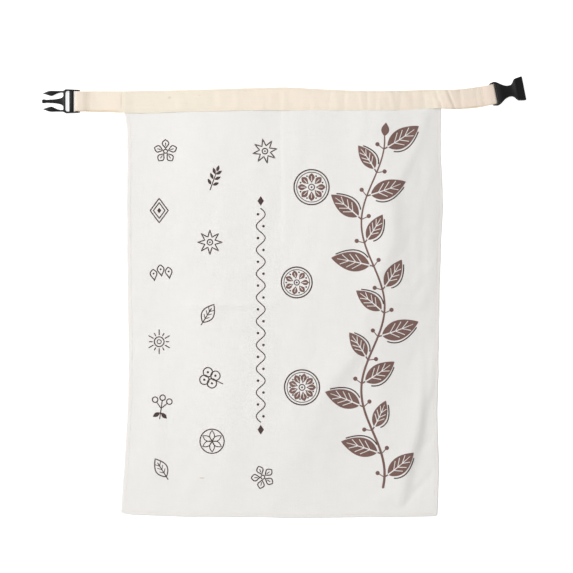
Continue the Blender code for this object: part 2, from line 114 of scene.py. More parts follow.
# Both edges of the tape, which is drawn tighter in places: place across, lower edge, upper edge
TAPE_EDGES = (
    (-193.0, 175.3, 195.5),
    (-169.0, 175.0, 195.1),
    (-150.0, 174.2, 195.0),
    (-128.0, 174.0, 195.4),
    (-98.0, 175.1, 195.9),
    (-60.0, 175.8, 196.9),
    (-23.0, 176.5, 197.9),
    (2.0, 176.3, 198.4),
    (30.0, 176.7, 197.0),
    (62.0, 176.6, 195.5),
    (81.0, 176.7, 195.0),
    (119.0, 177.1, 195.7),
    (146.0, 178.5, 196.6),
    (159.0, 177.8, 196.5),
    (176.0, 178.6, 198.1),
    (185.5, 179.7, 199.6),
    (201.0, 182.8, 202.4),
)
# Main folds of the front: reach to the left of the line and to its right, then the x, y and
# height of each point along the line (a height below zero is a trough)
FOLDS = (
    (60.0, 14.0, ((42.0, -84.0, 0.2), (52.0, -71.0, 0.9), (62.0, -58.0, 1.5), (70.0, -42.0, 1.6),
                  (75.0, -21.0, 1.4), (80.0, 4.0, 1.3), (86.0, 20.0, 1.4), (95.0, 36.0, 1.6),
                  (101.0, 56.0, 1.7), (101.0, 82.0, 1.6), (101.0, 101.0, 1.4),
                  (109.5, 120.0, 1.2), (122.0, 146.0, 0.7))),
    (55.0, 22.0, ((0.0, -180.0, 0.4), (9.0, -152.0, 1.0), (19.0, -126.0, 1.5),
                  (30.0, -99.0, 1.6), (42.0, -76.0, 1.2), (56.0, -60.0, 0.4))),
    (30.0, 9.0, ((110.0, -196.0, 0.5), (114.0, -171.6, 1.6), (117.8, -154.5, 2.0),
                 (121.6, -138.5, 2.1), (126.3, -119.6, 2.0), (131.0, -100.7, 1.8),
                 (134.8, -86.5, 1.5), (140.0, -66.0, 0.8))),
    (50.0, 24.0, ((44.0, 20.0, 0.6), (38.0, 60.0, 1.1), (34.0, 122.0, 0.8))),
    (45.0, 14.0, ((-78.0, 104.0, 0.3), (-64.8, 139.0, 0.5), (-56.0, 165.0, 0.4))),
    (18.0, 4.5, ((-84.0, -7.6, 0.4), (-50.0, -7.8, 0.45), (-14.0, -8.0, 0.35))),
    (16.0, 7.0, ((98.0, -5.0, 0.8), (122.0, -6.0, 0.9), (138.0, -6.0, 0.5))),
)
FOLD_FREE_FROM_EDGE = 18.0  # main folds reach their full height this far in from the seams
TAPE_ZONE, TAPE_ZONE_END = 24.0, 60.0  # below the mouth: main folds start past the first

# Creases of the front, finer than its main folds, in the same columns
CREASES = (
    (18.0, 4.0, ((-3.6, 20.0, -0.12), (-3.6, 90.0, -0.3), (-3.6, 178.0, -0.3))),
    (16.0, 4.5, ((-147.0, -8.0, 0.35), (-131.0, -8.0, 0.3))),
    (14.0, 9.0, ((8.0, 112.0, 0.15), (14.0, 140.0, 0.3), (12.0, 172.0, 0.3))),
    (12.0, 6.0, ((110.0, -196.0, 0.2), (115.0, -171.6, 0.5), (119.5, -154.5, 0.6),
                 (124.5, -138.5, 0.7), (129.0, -119.6, 0.9), (133.5, -100.7, 1.0),
                 (137.0, -86.5, 1.0), (141.0, -64.0, 0.6))),
    (12.0, 6.0, ((127.0, 15.0, 0.3), (124.0, 60.0, 0.5), (129.0, 98.0, 0.4))),
    (9.0, 5.0, ((108.0, 108.0, 0.3), (122.0, 134.0, 0.5), (132.0, 166.0, 0.4))),
    (6.0, 6.0, ((116.0, -68.0, -0.3), (123.0, -54.0, -0.35))),
    (4.0, 4.0, ((113.0, -198.0, -0.3), (121.0, -187.0, -0.4), (133.0, -174.0, -0.45),
                (142.0, -163.0, -0.3))),
    (4.0, 4.0, ((131.0, -142.0, -0.35), (140.0, -134.0, -0.35))),
    (12.0, 5.0, ((93.0, 138.0, 0.2), (98.0, 150.0, 0.4), (96.0, 172.0, 0.3))),
    (12.0, 5.0, ((76.0, 156.0, 0.3), (74.0, 174.0, 0.35))),
    (14.0, 7.0, ((-120.0, -172.0, 0.2), (-117.0, -110.0, 0.4), (-121.0, -50.0, 0.2))),
    (24.0, 15.0, ((-56.0, -190.0, 0.4), (-53.0, -120.0, 0.5), (-58.0, -50.0, 0.2))),
    (7.0, 4.0, ((-90.0, -7.6, 0.25), (-50.0, -7.8, 0.4), (-14.0, -8.0, 0.3))),
    (16.0, 10.0, ((47.0, -78.0, 0.4), (58.0, -64.0, 0.8), (69.0, -48.0, 0.5))),
    (20.0, 10.0, ((92.0, 26.0, 0.4), (103.0, 48.0, 0.8), (103.0, 78.0, 0.7), (102.0, 102.0, 0.4))),
    (14.0, 7.0, ((114.0, 10.0, 0.3), (112.0, 50.0, 0.6), (116.0, 84.0, 0.5), (124.0, 112.0, 0.4))),
    (30.0, 7.0, ((132.0, -24.0, 0.4), (134.0, 20.0, 0.7), (135.5, 60.0, 0.8), (135.0, 120.0, 0.8),
                 (133.0, 172.0, 1.0))),
    (70.0, 30.0, ((104.0, -40.0, 0.2), (104.0, 10.0, 0.9), (104.0, 60.0, 1.2),
                  (106.0, 120.0, 1.0), (112.0, 168.0, 0.6))),
    (5.0, 5.0, ((-70.0, 70.0, -0.15), (-63.0, 90.0, -0.2))),
)
RIGHT_ROLL = 0.95  # the right edge rolls down this far, over the last few millimetres of it
RIGHT_ROLL_START, RIGHT_ROLL_END = 0.5, 10.0
RIGHT_ROLL_FOOT = (-70.0, -30.0)  # and does so above these heights on the bag
CREASE_START, CREASE_FREE = 1.5, 7.0  # distances in from a seam over which creases begin
CREASE_UNDER_TAPE = 0.25  # share of their height that the creases keep under the tape
UNDER_TAPE = (-12.0, -7.0)  # heights from the tape's middle line over which they lose the rest
# Crumpled patches: middle x, y, reach x, y, direction in degrees, streak length, width, height
CRUMPLES = (
    (138.0, 35.0, 20.0, 48.0, 58.0, 26.0, 7.0, 0.35),
    (138.0, 110.0, 18.0, 60.0, 70.0, 30.0, 9.0, 0.25),
    (132.0, -60.0, 24.0, 60.0, 62.0, 34.0, 10.0, 0.20),
    (128.0, -165.0, 26.0, 40.0, 55.0, 30.0, 9.0, 0.25),
    (85.0, 150.0, 60.0, 26.0, 88.0, 26.0, 8.0, 0.30),
    (60.0, -40.0, 60.0, 150.0, 75.0, 60.0, 18.0, 0.25),
    (0.0, 0.0, 260.0, 320.0, 86.0, 90.0, 24.0, 0.30),
    (0.0, 0.0, 260.0, 320.0, 70.0, 34.0, 11.0, 0.18),
    (0.0, 0.0, 260.0, 320.0, 20.0, 26.0, 13.0, 0.14),
    (0.0, -206.0, 150.0, 14.0, 90.0, 16.0, 9.0, 0.14),
)
# Packing creases of the back: one upright and one level, each as place, width and height
BACK_UPRIGHT, BACK_LEVEL = (-2.1, 3.0, 0.32), (-9.3, 3.0, 0.28)
BACK_SLACK, BACK_SLACK_REACH = 0.35, (46.0, 60.0)  # soft lifts between them, and their size

# Tape
TAPE_WIDTH, TAPE_WIDTH_AT_BUCKLE = 19.9, 19.0
NARROW_END, WIDE_START = 4.0, 18.0  # from the bar along the tape: where its width changes
TAPE_OVERLAP = 1.0  # the panels' edge lies this far below the tape's upper edge
BAR_RADIUS = 1.2  # the buckle bars that the tape goes round
WRAP_RADIUS = BAR_RADIUS + GAP + SOLID_TAPE / 2
WRAP_ANGLE = math.radians(85)  # where the tape leaves the bar
LINE_STEP = 3.0  # the tape's direction is taken over this far each way
TAPE_STEP = 1.0  # along the tape, from one cross-section to the next
SEWN_GAP = (SOLID_TAPE + GAP) / 2  # half the distance between the two sewn layers
TAIL = 14.0  # from the bar's centre to the end of the turned tail
TAPE_ON_SEAM = FRONT_LOW + GAP + SOLID_TAPE / 2
TAPE_PRESSED = 0.52  # how much closer to the cloth it lies than its solid does
TAPE_PRESSED_FROM = 12.0  # and this far in from the seams it is wholly so
PRONG_SAG, SOCKET_SAG = 3.1, 3.6  # lowest height of the tape's middle between bag and buckle
PRONG_SEWN, SOCKET_SEWN = 2.4, 3.0  # height between the two layers at the tail's end
# Strap between the bag and its sewn end: share of the way out from the bag, share of the height
STRAP_SAG = ((0.0, 1.0), (0.16, 0.78), (0.34, 0.40), (0.50, 0.10), (0.62, 0.0))
# Sewn end: distance from the bar's centre, distance outwards from the sewn layers
SEWN_END = ((12.0, 0.0), (10.6, 0.05), (8.2, 0.5), (5.4, 1.08), (2.8, 1.3))
# Creases across the tape: place across at its upper and its lower edge, half width, height
TAPE_CREASES = (
    (154.4, 162.1, 1.4, -0.70),
    (151.0, 158.6, 2.3, 0.40),
    (142.8, 149.4, 2.0, -0.60),
    (139.0, 145.0, 2.4, 0.24),
    (166.2, 168.0, 2.4, -0.34),
    (180.5, 184.0, 2.6, -0.26),
    (-152.8, -153.0, 1.6, -0.34),
    (-93.0, -91.0, 4.0, -0.14),
    (-66.0, -69.0, 5.0, -0.14),
    (-4.0, -4.0, 4.0, -0.14),
    (16.0, 15.0, 3.0, -0.18),
    (44.0, 42.0, 2.6, -0.26),
    (58.0, 57.0, 3.0, -0.30),
    (72.0, 74.0, 3.0, 0.30),
    (78.0, 79.0, 2.6, -0.38),
    (88.0, 86.0, 2.6, -0.32),
    (101.0, 103.0, 3.0, 0.30),
    (111.0, 109.0, 2.6, -0.30),
    (120.0, 123.0, 3.5, -0.28),
    (131.0, 133.0, 2.6, -0.32),
)
RELIEF_START, RELIEF_FULL = 4.0, 12.0  # distances from a bar over which the creases begin
TROUGHS_ON_BAG = 0.65  # share of their depth that the creases keep over the bag
TAPE_STITCH_INSET = 2.0  # the two long rows of stitches lie this far inside the tape's edges
STITCH_PINCH, STITCH_PINCH_REACH = 0.13, 0.8  # how they draw the tape in
EDGE_ROLL, EDGE_ROLL_WIDTH = 0.55, 1.8  # how the straps' lower edge rolls down beside the bag
EDGE_ROLL_START = 5.0  # and this far from the bag it does so wholly
RIPPLE_LENGTH, EDGE_RIPPLE_LENGTH = 5.5, 3.2  # along the tape, from one ripple to the next

# Buckle
PRONG_BAR = (-195.7, 185.4, 2.9)
PRONG_HEIGHT = 5.2
SOCKET_FOOT = (200.95, 192.6)
SOCKET_TURN = math.radians(11.2)
SOCKET_HEIGHT = 8.0
SOCKET_BAR = -2.7


# ---------------------------------------------------------------- settings


def metres(name, description, default):
    return FloatProperty(
        name=name, description=description, default=default, min=0.0, precision=5,
        subtype="DISTANCE", unit="LENGTH",
    )


def factor(name, description, default):
    return FloatProperty(
        name=name, description=description, default=default, min=0.0, soft_max=1.0,
        subtype="FACTOR",
    )


def rgb(name, description, default):
    return FloatVectorProperty(
        name=name, description=description, default=default, size=3, min=0.0, max=1.0,
        subtype="COLOR",
    )


class ClothSettings(bpy.types.PropertyGroup):
    """What can be changed on both cloth panels."""

    thickness: metres("Thickness", "Thickness of the cloth", 0.00065)
    cell: metres("Cell", "Size of the front panel's mesh cells, finer along creases", 0.0021)
    back_cell: metres("Back cell", "Size of the back panel's mesh cells", 0.0042)
    crumple: factor("Crumple", "How crumpled the slack parts of the cloth are", 1.0)
    colour: rgb("Colour", "Colour of the cloth", (0.80, 0.783, 0.758))
    seam_colour: rgb("Seam colour", "Colour of the strip over the seam allowance",
                        (0.797, 0.776, 0.748))
    thread_pitch: metres("Thread pitch", "From one thread of the weave to the next", 0.00055)
    slub: factor("Slub", "How uneven the threads are", 0.6)


class TapeSettings(bpy.types.PropertyGroup):
    """What can be changed on the mouth tape."""

    thickness: metres("Thickness", "Thickness of the sewn tape", 0.0006)
    ripple: metres("Ripple", "Height of its small ripples", 0.00019)
    colour: rgb("Colour", "Colour of the tape", (0.813, 0.745, 0.628))
    pink_colour: rgb("Pink colour", "Colour of its pinker patches", (0.808, 0.692, 0.588))
    thread_pitch: metres("Thread pitch", "From one thread of the weave to the next", 0.00048)
    # painted shade: the straps' lower edge is coloured darker where it turns away from the light
    edge_shade_colour: rgb("Edge shade colour", "Colour of the straps' lower edge", (0.64, 0.52, 0.38))
    fleck_colour: rgb("Fleck colour", "Colour of the seed flecks in the tape",
                         (0.42, 0.22, 0.10))


class ThreadSettings(bpy.types.PropertyGroup):
    """What can be changed on the stitching."""

    thickness: metres("Thickness", "Thickness of the thread", 0.00034)
    stitch: metres("Stitch", "Length of one stitch", 0.0026)
    colour: rgb("Colour", "Colour of the thread in the tape", (0.80, 0.72, 0.58))
    seam_colour: rgb("Seam colour", "Colour of the thread in the seams", (0.80, 0.775, 0.735))


class PrintSettings(bpy.types.PropertyGroup):
    """What can be changed on the printed ornament."""

    line: metres("Line", "Width of the thin printed lines", 0.00105)
    film: metres("Film", "How far the ink stands above the cloth", 0.00012)
    cell: metres("Cell", "Size of the film's mesh cells", 0.0016)
    solid_colour: rgb("Solid colour", "Colour of the solid shapes", (0.172, 0.094, 0.080))
    line_colour: rgb("Line colour", "Colour of the thin lines", (0.060, 0.034, 0.029))


class BuckleSettings(bpy.types.PropertyGroup):
    """What can be changed on both buckle halves."""

    rounding: metres("Rounding", "Radius of the moulded edges", 0.0004)
    colour: rgb("Colour", "Colour of the plastic", (0.004, 0.004, 0.0045))
    roughness: factor("Roughness", "Roughness of the plastic", 0.42)


class StageSettings(bpy.types.PropertyGroup):
    """What can be changed on the stage."""

    field: metres("Field", "Width of the picture at the height of the bag", 0.5415)
    lens: FloatProperty(name="Lens", description="Focal length of the camera in millimetres",
                        default=200.0, min=10.0)
    key_power: FloatProperty(name="Key power", description="Power of the large soft light",
                             default=133.5, min=0.0, unit="POWER")
    fill: factor("Fill", "Brightness of the even light from all round", 0.671)
    ceiling: factor("Ceiling", "Brightness straight above, as a share of the fill", 0.35)
    floor_colour: rgb("Floor colour", "Colour of the floor", (0.6, 0.6, 0.6))
    floor_glow: factor("Floor glow", "Light that the floor adds of its own", 0.84)


# ---------------------------------------------------------------- curves and tables


def smooth_through(table, column, at):
    """A smooth curve through one column of a table whose first column rises or falls steadily."""
    rows = np.array(sorted(table))
    keys, values = rows[:, 0], rows[:, column]
    slopes = np.gradient(values, keys)
    at = np.asarray(at, float)
    inside = np.clip(at, keys[0], keys[-1])
    i = np.clip(np.searchsorted(keys, inside) - 1, 0, len(keys) - 2)
    span = keys[i + 1] - keys[i]
    t = (inside - keys[i]) / span
    curve = (
        values[i] * (1 + 2 * t) * (1 - t) ** 2
        + values[i + 1] * t**2 * (3 - 2 * t)
        + span * (slopes[i] * t * (1 - t) ** 2 + slopes[i + 1] * t**2 * (t - 1))
    )
    ends = np.where(at < keys[0], slopes[0], slopes[-1])
    return curve + (at - inside) * ends


def ease(value, start, end):
    """0 up to start, 1 from end on, and smooth between them."""
    t = np.clip((value - start) / (end - start), 0, 1)
    return t * t * (3 - 2 * t)


def wander(along, across, seed):
    """Smooth noise from -1 to 1, with bumps about one unit apart both ways."""
    size = 64
    lattice = np.random.default_rng(seed).uniform(-1, 1, (size, size))
    i, j = np.floor(along).astype(int), np.floor(across).astype(int)
    s, t = ease(along - i, 0, 1), ease(across - j, 0, 1)
    i, j = i % size, j % size
    k, m = (i + 1) % size, (j + 1) % size
    near = lattice[i, j] * (1 - s) + lattice[k, j] * s
    far = lattice[i, m] * (1 - s) + lattice[k, m] * s
    return near * (1 - t) + far * t


def spaced(total, coarse, fine, places, reach=5.0):
    """Places from 0 to 1 along a length, coarse apart and closer near the given places."""
    at = np.linspace(0, total, 4000)
    near = sum(np.exp(-(((at - place) / reach) ** 2)) for place in places)
    spacing = coarse - (coarse - fine) * np.clip(near, 0, 1)
    passed = np.concatenate(((0,), np.cumsum(np.diff(at) / spacing[1:])))
    steps = np.linspace(0, passed[-1], round(passed[-1]) + 1)
    return np.interp(steps, passed, at) / total


def walked_along(points):
    """Distance along a line of points to each of them."""
    steps = np.linalg.norm(np.diff(points, axis=0), axis=1)
    return np.concatenate(((0,), np.cumsum(steps)))


# ---------------------------------------------------------------- outline and heights


def tape_middle(x):
    """Height on the bag of the tape's middle line."""
    return (smooth_through(TAPE_EDGES, 1, x) + smooth_through(TAPE_EDGES, 2, x)) / 2


def tape_width(x):
    """Upright distance between the tape's edges."""
    return smooth_through(TAPE_EDGES, 2, x) - smooth_through(TAPE_EDGES, 1, x)


def left_edge(y):
    """Place of the bag's left edge at this height on the bag."""
    return smooth_through(SIDE_EDGES, 1, y)


def right_edge(y):
    """Place of its right edge."""
    return smooth_through(SIDE_EDGES, 2, y)


def foot_edge(x):
    """Height on the bag of its foot."""
    return smooth_through(FOOT_EDGE, 1, x)


def mouth_edge(x):
    """Height on the bag of the panels' edge at the mouth, under the tape."""
    return smooth_through(TAPE_EDGES, 2, x) - TAPE_OVERLAP


def bag_point(u, v, side, foot, mouth):
    """The point at u across and v up the bag, whose edges are drawn in by side, foot and mouth."""
    u, v = np.asarray(u, float), np.asarray(v, float)
    x = left_edge(0.0) + u * (right_edge(0.0) - left_edge(0.0))
    low, high = foot_edge(x) + foot, mouth_edge(x) - mouth
    y = low + v * (high - low)
    drawn = side + EDGE_RIPPLE * (1 + wander(y / EDGE_RIPPLE_STEP, u * 2, 3))
    left, right = left_edge(y) + drawn, right_edge(y) - drawn
    x = left + u * (right - left)
    from_side = np.minimum(x - left, right - x)
    rounding = ease(-from_side, -CORNER, 0) * ease(low - y, -CORNER, 0)
    inwards = np.where(u < 0.5, 1.0, -1.0)
    draw = rounding * CORNER * (1 - math.sqrt(0.5))
    return x + inwards * draw, y + draw


def fold_height(folds, x, y):
    """What a table of folds adds to the front."""
    total = np.zeros_like(x)
    for left, right, points in folds:
        nearest, height = np.full_like(x, np.inf), np.zeros_like(x)
        reach = np.full_like(x, right)
        for (x0, y0, z0), (x1, y1, z1) in zip(points, points[1:]):
            run = np.array((x1 - x0, y1 - y0))
            t = np.clip(((x - x0) * run[0] + (y - y0) * run[1]) / run.dot(run), 0, 1)
            dx, dy = x - x0 - t * run[0], y - y0 - t * run[1]
            away = np.hypot(dx, dy) + 1e-6
            side = (run[0] * dy - run[1] * dx) / (away * np.hypot(*run))
            closer = away < nearest
            nearest = np.where(closer, away, nearest)
            height = np.where(closer, z0 + t * (z1 - z0), height)
            # Past a line's ends the reach turns smoothly from the one side's to the other's
            reach = np.where(closer, (left + right + side * (left - right)) / 2, reach)
        total += height * np.exp(-((nearest / reach) ** 2) * 2)
    return total


def crumple_height(x, y):
    """What the crumpled patches add to the front: long soft streaks, stronger in the middle."""
    total = np.zeros_like(x)
    for seed, (cx, cy, rx, ry, turn, long, wide, height) in enumerate(CRUMPLES):
        c, s = math.cos(math.radians(turn)), math.sin(math.radians(turn))
        along, across = (x * c + y * s) / long, (y * c - x * s) / wide
        fade = np.exp(-(((x - cx) / rx) ** 2) - ((y - cy) / ry) ** 2)
        total += height * fade * wander(along, across, 20 + seed)
    return total


def from_seams(x, y):
    """Distance from the nearer side seam, and from the foot."""
    return np.minimum(x - left_edge(y), right_edge(y) - x), y - foot_edge(x)


def solid_top(x, y):
    """Top of the front panel's solid."""
    from_side, from_foot = from_seams(x, y)
    rise = ease(x - left_edge(y), RISE_START, LEFT_RISE_END)
    rise = rise * ease(right_edge(y) - x, RISE_START, RIGHT_RISE_END)
    rise = rise * ease(from_foot, RISE_START, FOOT_RISE_END)
    free = ease(np.minimum(from_side, from_foot), RISE_START, FOLD_FREE_FROM_EDGE)
    free = free * ease(mouth_edge(x) - y, TAPE_ZONE, TAPE_ZONE_END)
    return FRONT_LOW + PLATEAU_RISE * rise + free * fold_height(FOLDS, x, y)


def front_top(x, y, crumple=1.0):
    """Top of the cloth of the front panel: its solid's folds, and its own finer creases."""
    from_side, from_foot = from_seams(x, y)
    free = ease(np.minimum(from_side, from_foot), CREASE_START, CREASE_FREE)
    under_tape = ease(y - tape_middle(x), *UNDER_TAPE)
    held = 1 - (1 - CREASE_UNDER_TAPE) * under_tape
    finer = fold_height(CREASES, x, y) + crumple * crumple_height(x, y)
    roll = 1 - ease(right_edge(y) - x, RIGHT_ROLL_START, RIGHT_ROLL_END)
    roll = RIGHT_ROLL * roll * ease(y, *RIGHT_ROLL_FOOT)
    return solid_top(x, y) + free * held * finer - roll


def back_bottom(x, y):
    """Underside of the cloth of the back panel, which lifts a little at the packing creases."""
    from_side, from_foot = from_seams(x, y)
    free = ease(np.minimum(from_side, from_foot), CREASE_START, 3 * CREASE_FREE)
    reach_x, reach_y = BACK_SLACK_REACH
    lift = BACK_SLACK * ease(wander(x / reach_x, y / reach_y, 11), 0.1, 0.9)
    for at, (middle, width, height) in ((x, BACK_UPRIGHT), (y, BACK_LEVEL)):
        lift += height * np.exp(-(((at - middle) / width) ** 2))
    return free * lift


# ---------------------------------------------------------------- meshes


def in_place(name, mesh, finish):
    """The object of a finished sewn piece, riding on the bag."""
    mesh.name = name
    mesh.materials.append(finish)
    piece = bpy.data.objects.new(name, mesh)
    bpy.context.scene.collection.objects.link(piece)
    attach(piece, BODY)
    return piece


def mesh_from(points, faces, uv=None, sharp=SHARP_ANGLE):
    """A closed smooth mesh of points in millimetres, turned outwards, with a map in metres."""
    mesh = bpy.data.meshes.new("shape")
    mesh.from_pydata((np.asarray(points, float) * MM).tolist(), [], faces)
    work = bmesh.new()
    work.from_mesh(mesh)
    bmesh.ops.recalc_face_normals(work, faces=work.faces)
    work.to_mesh(mesh)
    work.free()
    if uv is not None:
        corners = np.empty(len(mesh.loops), np.int32)
        mesh.loops.foreach_get("vertex_index", corners)
        layer = mesh.uv_layers.new(name="UVMap")
        layer.uv.foreach_set("vector", (np.asarray(uv)[corners] * MM).astype(np.float32).ravel())
    mesh.shade_smooth()
    mesh.set_sharp_from_angle(angle=sharp)
    return mesh


def skinned(outer, inner, faces, uv):
    """A thin closed mesh from its two faces, point for point, with a narrow rim all round."""
    count = len(outer)
    closed = faces + [[i + count for i in reversed(face)] for face in faces]
    edges = {}
    for face in faces:
        for start, end in zip(face, face[1:] + face[:1]):
            if edges.pop((end, start), None) is None:
                edges[start, end] = True
    closed += [[end, start, start + count, end + count] for start, end in edges]
    return mesh_from(np.concatenate((outer, inner)), closed, np.concatenate((uv, uv)))


def tube_faces(around, rings):
    """The faces of a closed tube through rings of points."""
    last = around * (rings - 1)
    faces = [list(range(around - 1, -1, -1)), list(range(last, last + around))]
    for start in range(0, last, around):
        for corner in range(around):
            after = (corner + 1) % around
            faces.append([start + corner, start + after,
                          start + around + after, start + around + corner])
    return faces


def edge_walk(ids, over_mouth):
    """The grid's edge points: down the left side, along the foot and up the right side."""
    walk = [*ids[::-1, 0], *ids[0, 1:], *ids[1:, -1]]
    if over_mouth:
        walk += [*ids[-1, -2:0:-1]]
    return [int(i) for i in walk]


def panel(grid, heights, thickness, fold_middle, upward, mouth_hem):
    """A cloth panel with its edges turned to the inside of the bag, as a mesh.

    grid holds the places of its columns and rows, and heights gives its outer face. The turned
    edges go round a line at the height fold_middle. upward is 1 where the outer face looks up
    and -1 where it looks down. A mouth_hem of 0 leaves that edge raw.
    """
    u, v = (places.ravel() for places in np.meshgrid(*grid))
    ids = np.arange(len(u)).reshape(len(grid[1]), len(grid[0]))
    hemmed = mouth_hem > 0
    x, y = bag_point(u, v, FOLD_RADIUS, FOLD_RADIUS, FOLD_RADIUS * hemmed)
    top = heights(x, y)
    outer, inner = [np.stack((x, y, top), 1)], [np.stack((x, y, top - upward * thickness), 1)]
    flat = [np.stack((x, y), 1)]
    corners = (ids[:-1, :-1], ids[:-1, 1:], ids[1:, 1:], ids[1:, :-1])
    faces = np.stack([corner.ravel() for corner in corners], 1).tolist()

    walk = edge_walk(ids, hemmed)
    edge_u, edge_v, edge_flat = u[walk], v[walk], flat[0][walk]
    outwards = np.stack((np.sign((edge_u == 1) * 1.0 - (edge_u == 0)), -1.0 * (edge_v == 0)), 1)
    outwards[:, 1] += hemmed * (edge_v == 1)
    lift = top[walk] - (fold_middle + upward * FOLD_RADIUS)
    count, previous = len(u), walk
    for step in range(1, FOLD_STEPS + 2):
        turn = math.pi * min(step, FOLD_STEPS) / FOLD_STEPS
        for sheets, radius in ((outer, FOLD_RADIUS), (inner, FOLD_RADIUS - thickness)):
            inset = FOLD_RADIUS - radius * math.sin(turn)
            insets = (inset, inset, inset * hemmed)
            if step > FOLD_STEPS:
                insets = (SEAM_ALLOWANCE, SEAM_ALLOWANCE, mouth_hem)
            x, y = bag_point(edge_u, edge_v, *insets)
            z = fold_middle + upward * radius * math.cos(turn) + lift * (1 + math.cos(turn)) / 2
            sheets.append(np.stack((x, y, z), 1))
        passed = FOLD_RADIUS * turn + (step > FOLD_STEPS) * SEAM_ALLOWANCE
        flat.append(edge_flat + outwards * passed)
        ring = list(range(count, count + len(walk)))
        steps = list(zip(previous, previous[1:], ring[1:], ring))
        if hemmed:
            steps.append((previous[-1], previous[0], ring[0], ring[-1]))
        # This order of corners carries on the grid's own winding
        faces += [[b, a, d, c] for a, b, c, d in steps]
        count, previous = count + len(ring), ring
    return skinned(*(np.concatenate(part) for part in (outer, inner)), faces, np.concatenate(flat))


def panel_grid(cell, fine):
    """Places of a panel's columns and rows, finer at its edges and along its packing creases."""
    return [spaced(total, cell, fine, (0, crease, total)) for total, crease in PANEL_SPANS]


def seam_strip(mesh):
    """Marks on the mesh how far each point lies over the turned allowance."""
    points = np.empty(len(mesh.vertices) * 3, np.float32)
    mesh.vertices.foreach_get("co", points)
    x, y, _ = points.reshape(-1, 3).T / MM
    near = np.minimum(*from_seams(x, y))
    layer = mesh.attributes.new("seam_strip", "FLOAT", "POINT")
    layer.data.foreach_set("value", (1 - ease(near, *SEAM_STRIP)).astype(np.float32))


# ---------------------------------------------------------------- tape


class TapeLine:
    """The tape's middle line seen from above, by distance along it, straight beyond its ends."""

    def __init__(self):
        first_bar, last_bar = PRONG_BAR[:2], socket_point(SOCKET_BAR, 0.0)
        x = np.linspace(first_bar[0], last_bar[0], 800)
        self.points = np.stack((x, tape_middle(x)), 1)
        self.points[0], self.points[-1] = first_bar, last_bar
        self.distance = walked_along(self.points)
        self.length = float(self.distance[-1])

    def point(self, along):
        """The place at this distance, between the line's ends."""
        return np.array([np.interp(along, self.distance, column) for column in self.points.T])

    def from_x(self, x):
        """The distance along the line at this place across the bag."""
        return float(np.interp(x, self.points[:, 0], self.distance))

    def at(self, along):
        """The place and the direction at this distance."""
        inside = min(max(along, 0.0), self.length)
        if inside < LINE_STEP:
            direction = np.array((1.0, 0.0))
        elif inside > self.length - LINE_STEP:
            direction = np.array((math.cos(SOCKET_TURN), math.sin(SOCKET_TURN)))
        else:
            direction = self.point(inside + LINE_STEP) - self.point(inside - LINE_STEP)
            direction /= np.linalg.norm(direction)
        return self.point(inside) + (along - inside) * direction, direction


def socket_point(along, aside):
    """A place on the bag from one in the socket's own directions."""
    c, s = math.cos(SOCKET_TURN), math.sin(SOCKET_TURN)
    return SOCKET_FOOT[0] + c * along - s * aside, SOCKET_FOOT[1] + s * along + c * aside


def strap_path(bar_height, reach, sag, sewn):
    """The tape's path from the bag's edge round a bar to the end of its sewn tail.

    Each row is the distance from the bar's centre towards the bag, and the height. reach is
    the distance to the bag's edge, sag the height of the tape's lowest stretch, and sewn the
    height between its two layers at the tail's end.
    """
    layers = []
    for distance, spread in ((TAIL, 0.0), *SEWN_END):
        middle = bar_height + (sewn - bar_height) * ease(distance, SEWN_END[-1][0], TAIL)
        layers.append((distance, middle + SEWN_GAP + spread, middle - SEWN_GAP - spread))
    rows = [(reach * (1 - out), sag + kept * (TAPE_ON_SEAM - sag)) for out, kept in STRAP_SAG]
    rows += [(distance, upper) for distance, upper, _ in layers]
    strap = np.linspace(reach, SEWN_END[-1][0], round(reach / TAPE_STEP))
    path = list(zip(strap.tolist(), smooth_through(rows, 1, strap).tolist()))
    for turn in np.linspace(WRAP_ANGLE, 2 * math.pi - WRAP_ANGLE, 24):
        along, up = WRAP_RADIUS * math.cos(turn), WRAP_RADIUS * math.sin(turn)
        path.append((along, bar_height + up))
    tail = np.linspace(SEWN_END[-1][0], TAIL, round(TAIL / TAPE_STEP))
    return path + list(zip(tail.tolist(), smooth_through(layers, 2, tail).tolist()))


def tape_path(line):
    """The tape's whole path: sewn tail, loop, strap, the mouth of the bag, strap, loop, tail."""
    height_on_bag = tape_middle(0.0)
    left, right = left_edge(height_on_bag), right_edge(height_on_bag)
    prong_strap = strap_path(PRONG_BAR[2], line.from_x(left), PRONG_SAG, PRONG_SEWN)
    end = line.length - line.from_x(right)
    socket_strap = strap_path(SOCKET_HEIGHT / 2, end, SOCKET_SAG, SOCKET_SEWN)
    path = prong_strap[::-1]
    for x in np.linspace(left, right, round((right - left) / TAPE_STEP))[1:-1]:
        pressed = TAPE_PRESSED * ease(min(x - left, right - x), 0.0, TAPE_PRESSED_FROM)
        height = float(solid_top(x, tape_middle(x))) + GAP + SOLID_TAPE / 2 - pressed
        path.append((line.from_x(x), height))
    path += [(line.length - along, height) for along, height in socket_strap]
    return np.array(path)


def path_normals(path):
    """The directions across a path of distances and heights, to its left as it is walked."""
    steps = np.diff(path, axis=0)
    across = np.stack((-steps[:, 1], steps[:, 0]), 1)
    across /= np.linalg.norm(across, axis=1, keepdims=True)
    across = np.concatenate((across[:1], across[:-1] + across[1:], across[-1:]))
    return across / np.linalg.norm(across, axis=1, keepdims=True)


def width_at(line, along, middle, direction):
    """The tape's width, which narrows where it goes through the buckle."""
    wide = ease(min(along, line.length - along), NARROW_END, WIDE_START)
    seen = tape_width(middle[0]) * direction[0]
    return TAPE_WIDTH_AT_BUCKLE + wide * (seen - TAPE_WIDTH_AT_BUCKLE)


